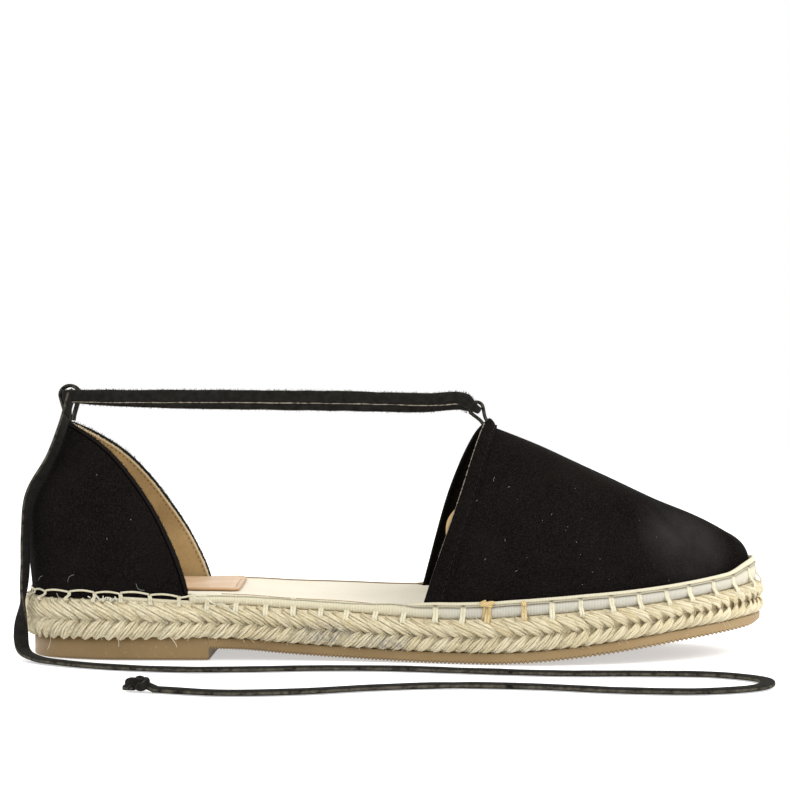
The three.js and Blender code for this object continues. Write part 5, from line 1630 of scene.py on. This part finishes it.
def thicken(made):
    """Gives a sheet its wall inwards, with the lining as the inside and rounded cut edges."""
    wall = made.modifiers.new("wall", "SOLIDIFY")
    wall.thickness = WALL * MM
    wall.offset = -1
    wall.material_offset = 1
    wall.material_offset_rim = 2
    wall.use_even_offset = False
    wall.use_quality_normals = True
    edge = made.modifiers.new("edge", "BEVEL")
    edge.width = 0.45 * MM
    edge.segments = 2
    edge.limit_method = "ANGLE"
    edge.angle_limit = math.radians(55)


vamp_upper()


def quarter_sheet(side, share, up):
    foot, _ = rim(side, share, QUARTER_INSET)
    low = on_jute(foot[..., 0], foot[..., 1])
    x = foot[..., 0] + HEEL_LEAN * heel_lean(up) * lean_fade(share_of_length(foot[..., 0]))
    return np.stack([x, foot[..., 1] * heel_width(up), mix(low, COUNTER_HEIGHT, up)], axis=-1)


def collar_share(side, up):
    """The share of one half of the heel piece's foot whose upright line meets the collar at a height."""
    edge = collar_x(side, up)
    return crossing(lambda share: quarter_sheet(side, np.array(share), np.array(up))[0] < edge, 0.0, 0.5)


def quarter_upper():
    rows = np.concatenate([np.linspace(0, 0.9, 44), np.linspace(0.9, 1, 20)[1:]])
    ups = 1 - (1 - COLLAR_FOOT) * np.linspace(0, 1, 90) ** 1.35
    parts = Parts()
    sheets = []
    for side in ("inner", "outer"):
        shares = np.array([0.0] + [collar_share(side, u) for u in ups[1:]])
        up = ups[:, None] * rows[None, :]
        sheets.append(quarter_sheet(side, np.repeat(shares[:, None], len(rows), axis=1), up))
    grid = np.concatenate([sheets[0][::-1], sheets[1][1:]])
    collar = by_length(grid[:, -1], step=0.6)
    gaps = np.linalg.norm(grid.reshape(-1, 1, 3) - collar, axis=2)
    nearest = gaps.argmin(axis=1)
    parts.add(grid, grid_faces(len(grid), len(rows)), from_edge=np.clip(10 - gaps.min(axis=1), 0, 10),
              along_edge=nearest * 0.6)
    made = parts.mesh("quarter_upper", [SUEDE, LINING, SUEDE], merge=0.02)
    thicken(made)
    dress(made, "suede", "heel_quarter")
    return grid


quarter_grid = quarter_upper()


# Lint and hairs caught on the suede of the near side.
def lint():
    """Tiny pale fibres, each at a place along the shoe and a height."""
    parts = Parts()
    side = vamp_sheet("outer", np.linspace(0, 0.9, 160), np.linspace(0, 1, 120)).reshape(-1, 3)
    surface = np.concatenate([side, quarter_grid.reshape(-1, 3)])
    surface = surface[surface[:, 1] < 6]
    flecks = [
        (33.9, 60.5, 1.7, 1.5), (27.4, 53.2, 0.8, 0.8), (38.1, 57.9, 0.8, 0.3), (30.1, 34.6, 0.7, 0.6),
        (36.6, 40.9, 0.6, 1.9), (40.0, 30.7, 0.7, 0.4), (52.0, 49.0, 0.6, 1.1),
        (60.0, 40.0, 0.6, 2.0), (-100.0, 62.0, 0.5, 0.9), (-96.0, 41.0, 0.6, 1.8), (-88.0, 47.0, 0.5, 0.3),
    ]
    flecks += [(rng.uniform(22, 95), rng.uniform(26, 58), 0.25, rng.uniform(0, 3)) for _ in range(16)]
    hairs = [(-108.5, 27.6, 3.6, 0.75), (-119.5, 26.6, 3.0, 0.6), (-85.0, 24.6, 3.6, 2.5)]
    q = np.linspace(0, 1, 7)
    for x, z, size, angle in flecks + hairs:
        near = surface[np.argmin((surface[:, 0] - x) ** 2 + (surface[:, 2] - z) ** 2)]
        way = np.array([math.cos(angle), 0, math.sin(angle)])
        bow = np.array([-way[2], -0.3, way[0]]) * 0.25 * size
        path = near + [0, -0.25, 0] + way * ((q - 0.5) * size)[:, None] + bow * np.sin(np.pi * q)[:, None]
        sweep(parts, path, UP, 0.11, 0.1, sides=4)
    return dress(parts.mesh("suede_lint", LINT), "suede")


lint()
collar_edge = quarter_grid[:, -1]
collar_ways = unit(collar_edge - quarter_grid[:, -4])
nap_fringe("collar_nap", [(collar_edge, collar_ways)], 4.0, 0.7, "suede")


# Stage: a pale floor that glows a little, a white surround and soft studio light.
def studio():
    s = Shader("studio_floor", (0.72, 0.72, 0.72), 0.7, Specular_IOR_Level=0.1)
    s.surface.inputs["Emission Color"].default_value = (1, 1, 1, 1)
    s.surface.inputs["Emission Strength"].default_value = 0.5
    size = 4.0
    points = [(-size, -size, 0), (size, -size, 0), (size, size, 0), (-size, size, 0)]
    mesh = bpy.data.meshes.new("floor")
    mesh.from_pydata(points, [], [(0, 1, 2, 3)])
    mesh.materials.append(s.material)
    floor = bpy.data.objects.new("floor", mesh)
    scene.collection.objects.link(floor)
    world = bpy.data.worlds.new("world")
    world.use_nodes = True
    world.node_tree.nodes["Background"].inputs["Color"].default_value = (1, 1, 1, 1)
    world.node_tree.nodes["Background"].inputs["Strength"].default_value = 1.0
    scene.world = world
    lights = [
        ("key", (-0.35, -0.7, 1.0), 0.8, 3.6),
        ("fill", (0.75, -0.8, 0.6), 0.8, 2.0),
        ("toe", (0.5, -0.12, 0.42), 0.3, 1.5),
        ("back_left", (-0.8, 0.6, 0.6), 0.7, 4.0),
        ("back_right", (0.85, 0.6, 0.6), 0.7, 4.0),
    ]
    for name, place, size, power in lights:
        data = bpy.data.lights.new(name, "AREA")
        data.size = size
        data.energy = power
        lamp = bpy.data.objects.new(name, data)
        lamp.location = place
        aim = np.array([0, 0, 0.04]) - np.array(place)
        lamp.rotation_euler = (
            math.atan2(math.hypot(aim[0], aim[1]), -aim[2]), 0, math.atan2(aim[1], aim[0]) - math.pi / 2,
        )
        scene.collection.objects.link(lamp)


studio()
scene.view_settings.view_transform = "Standard"
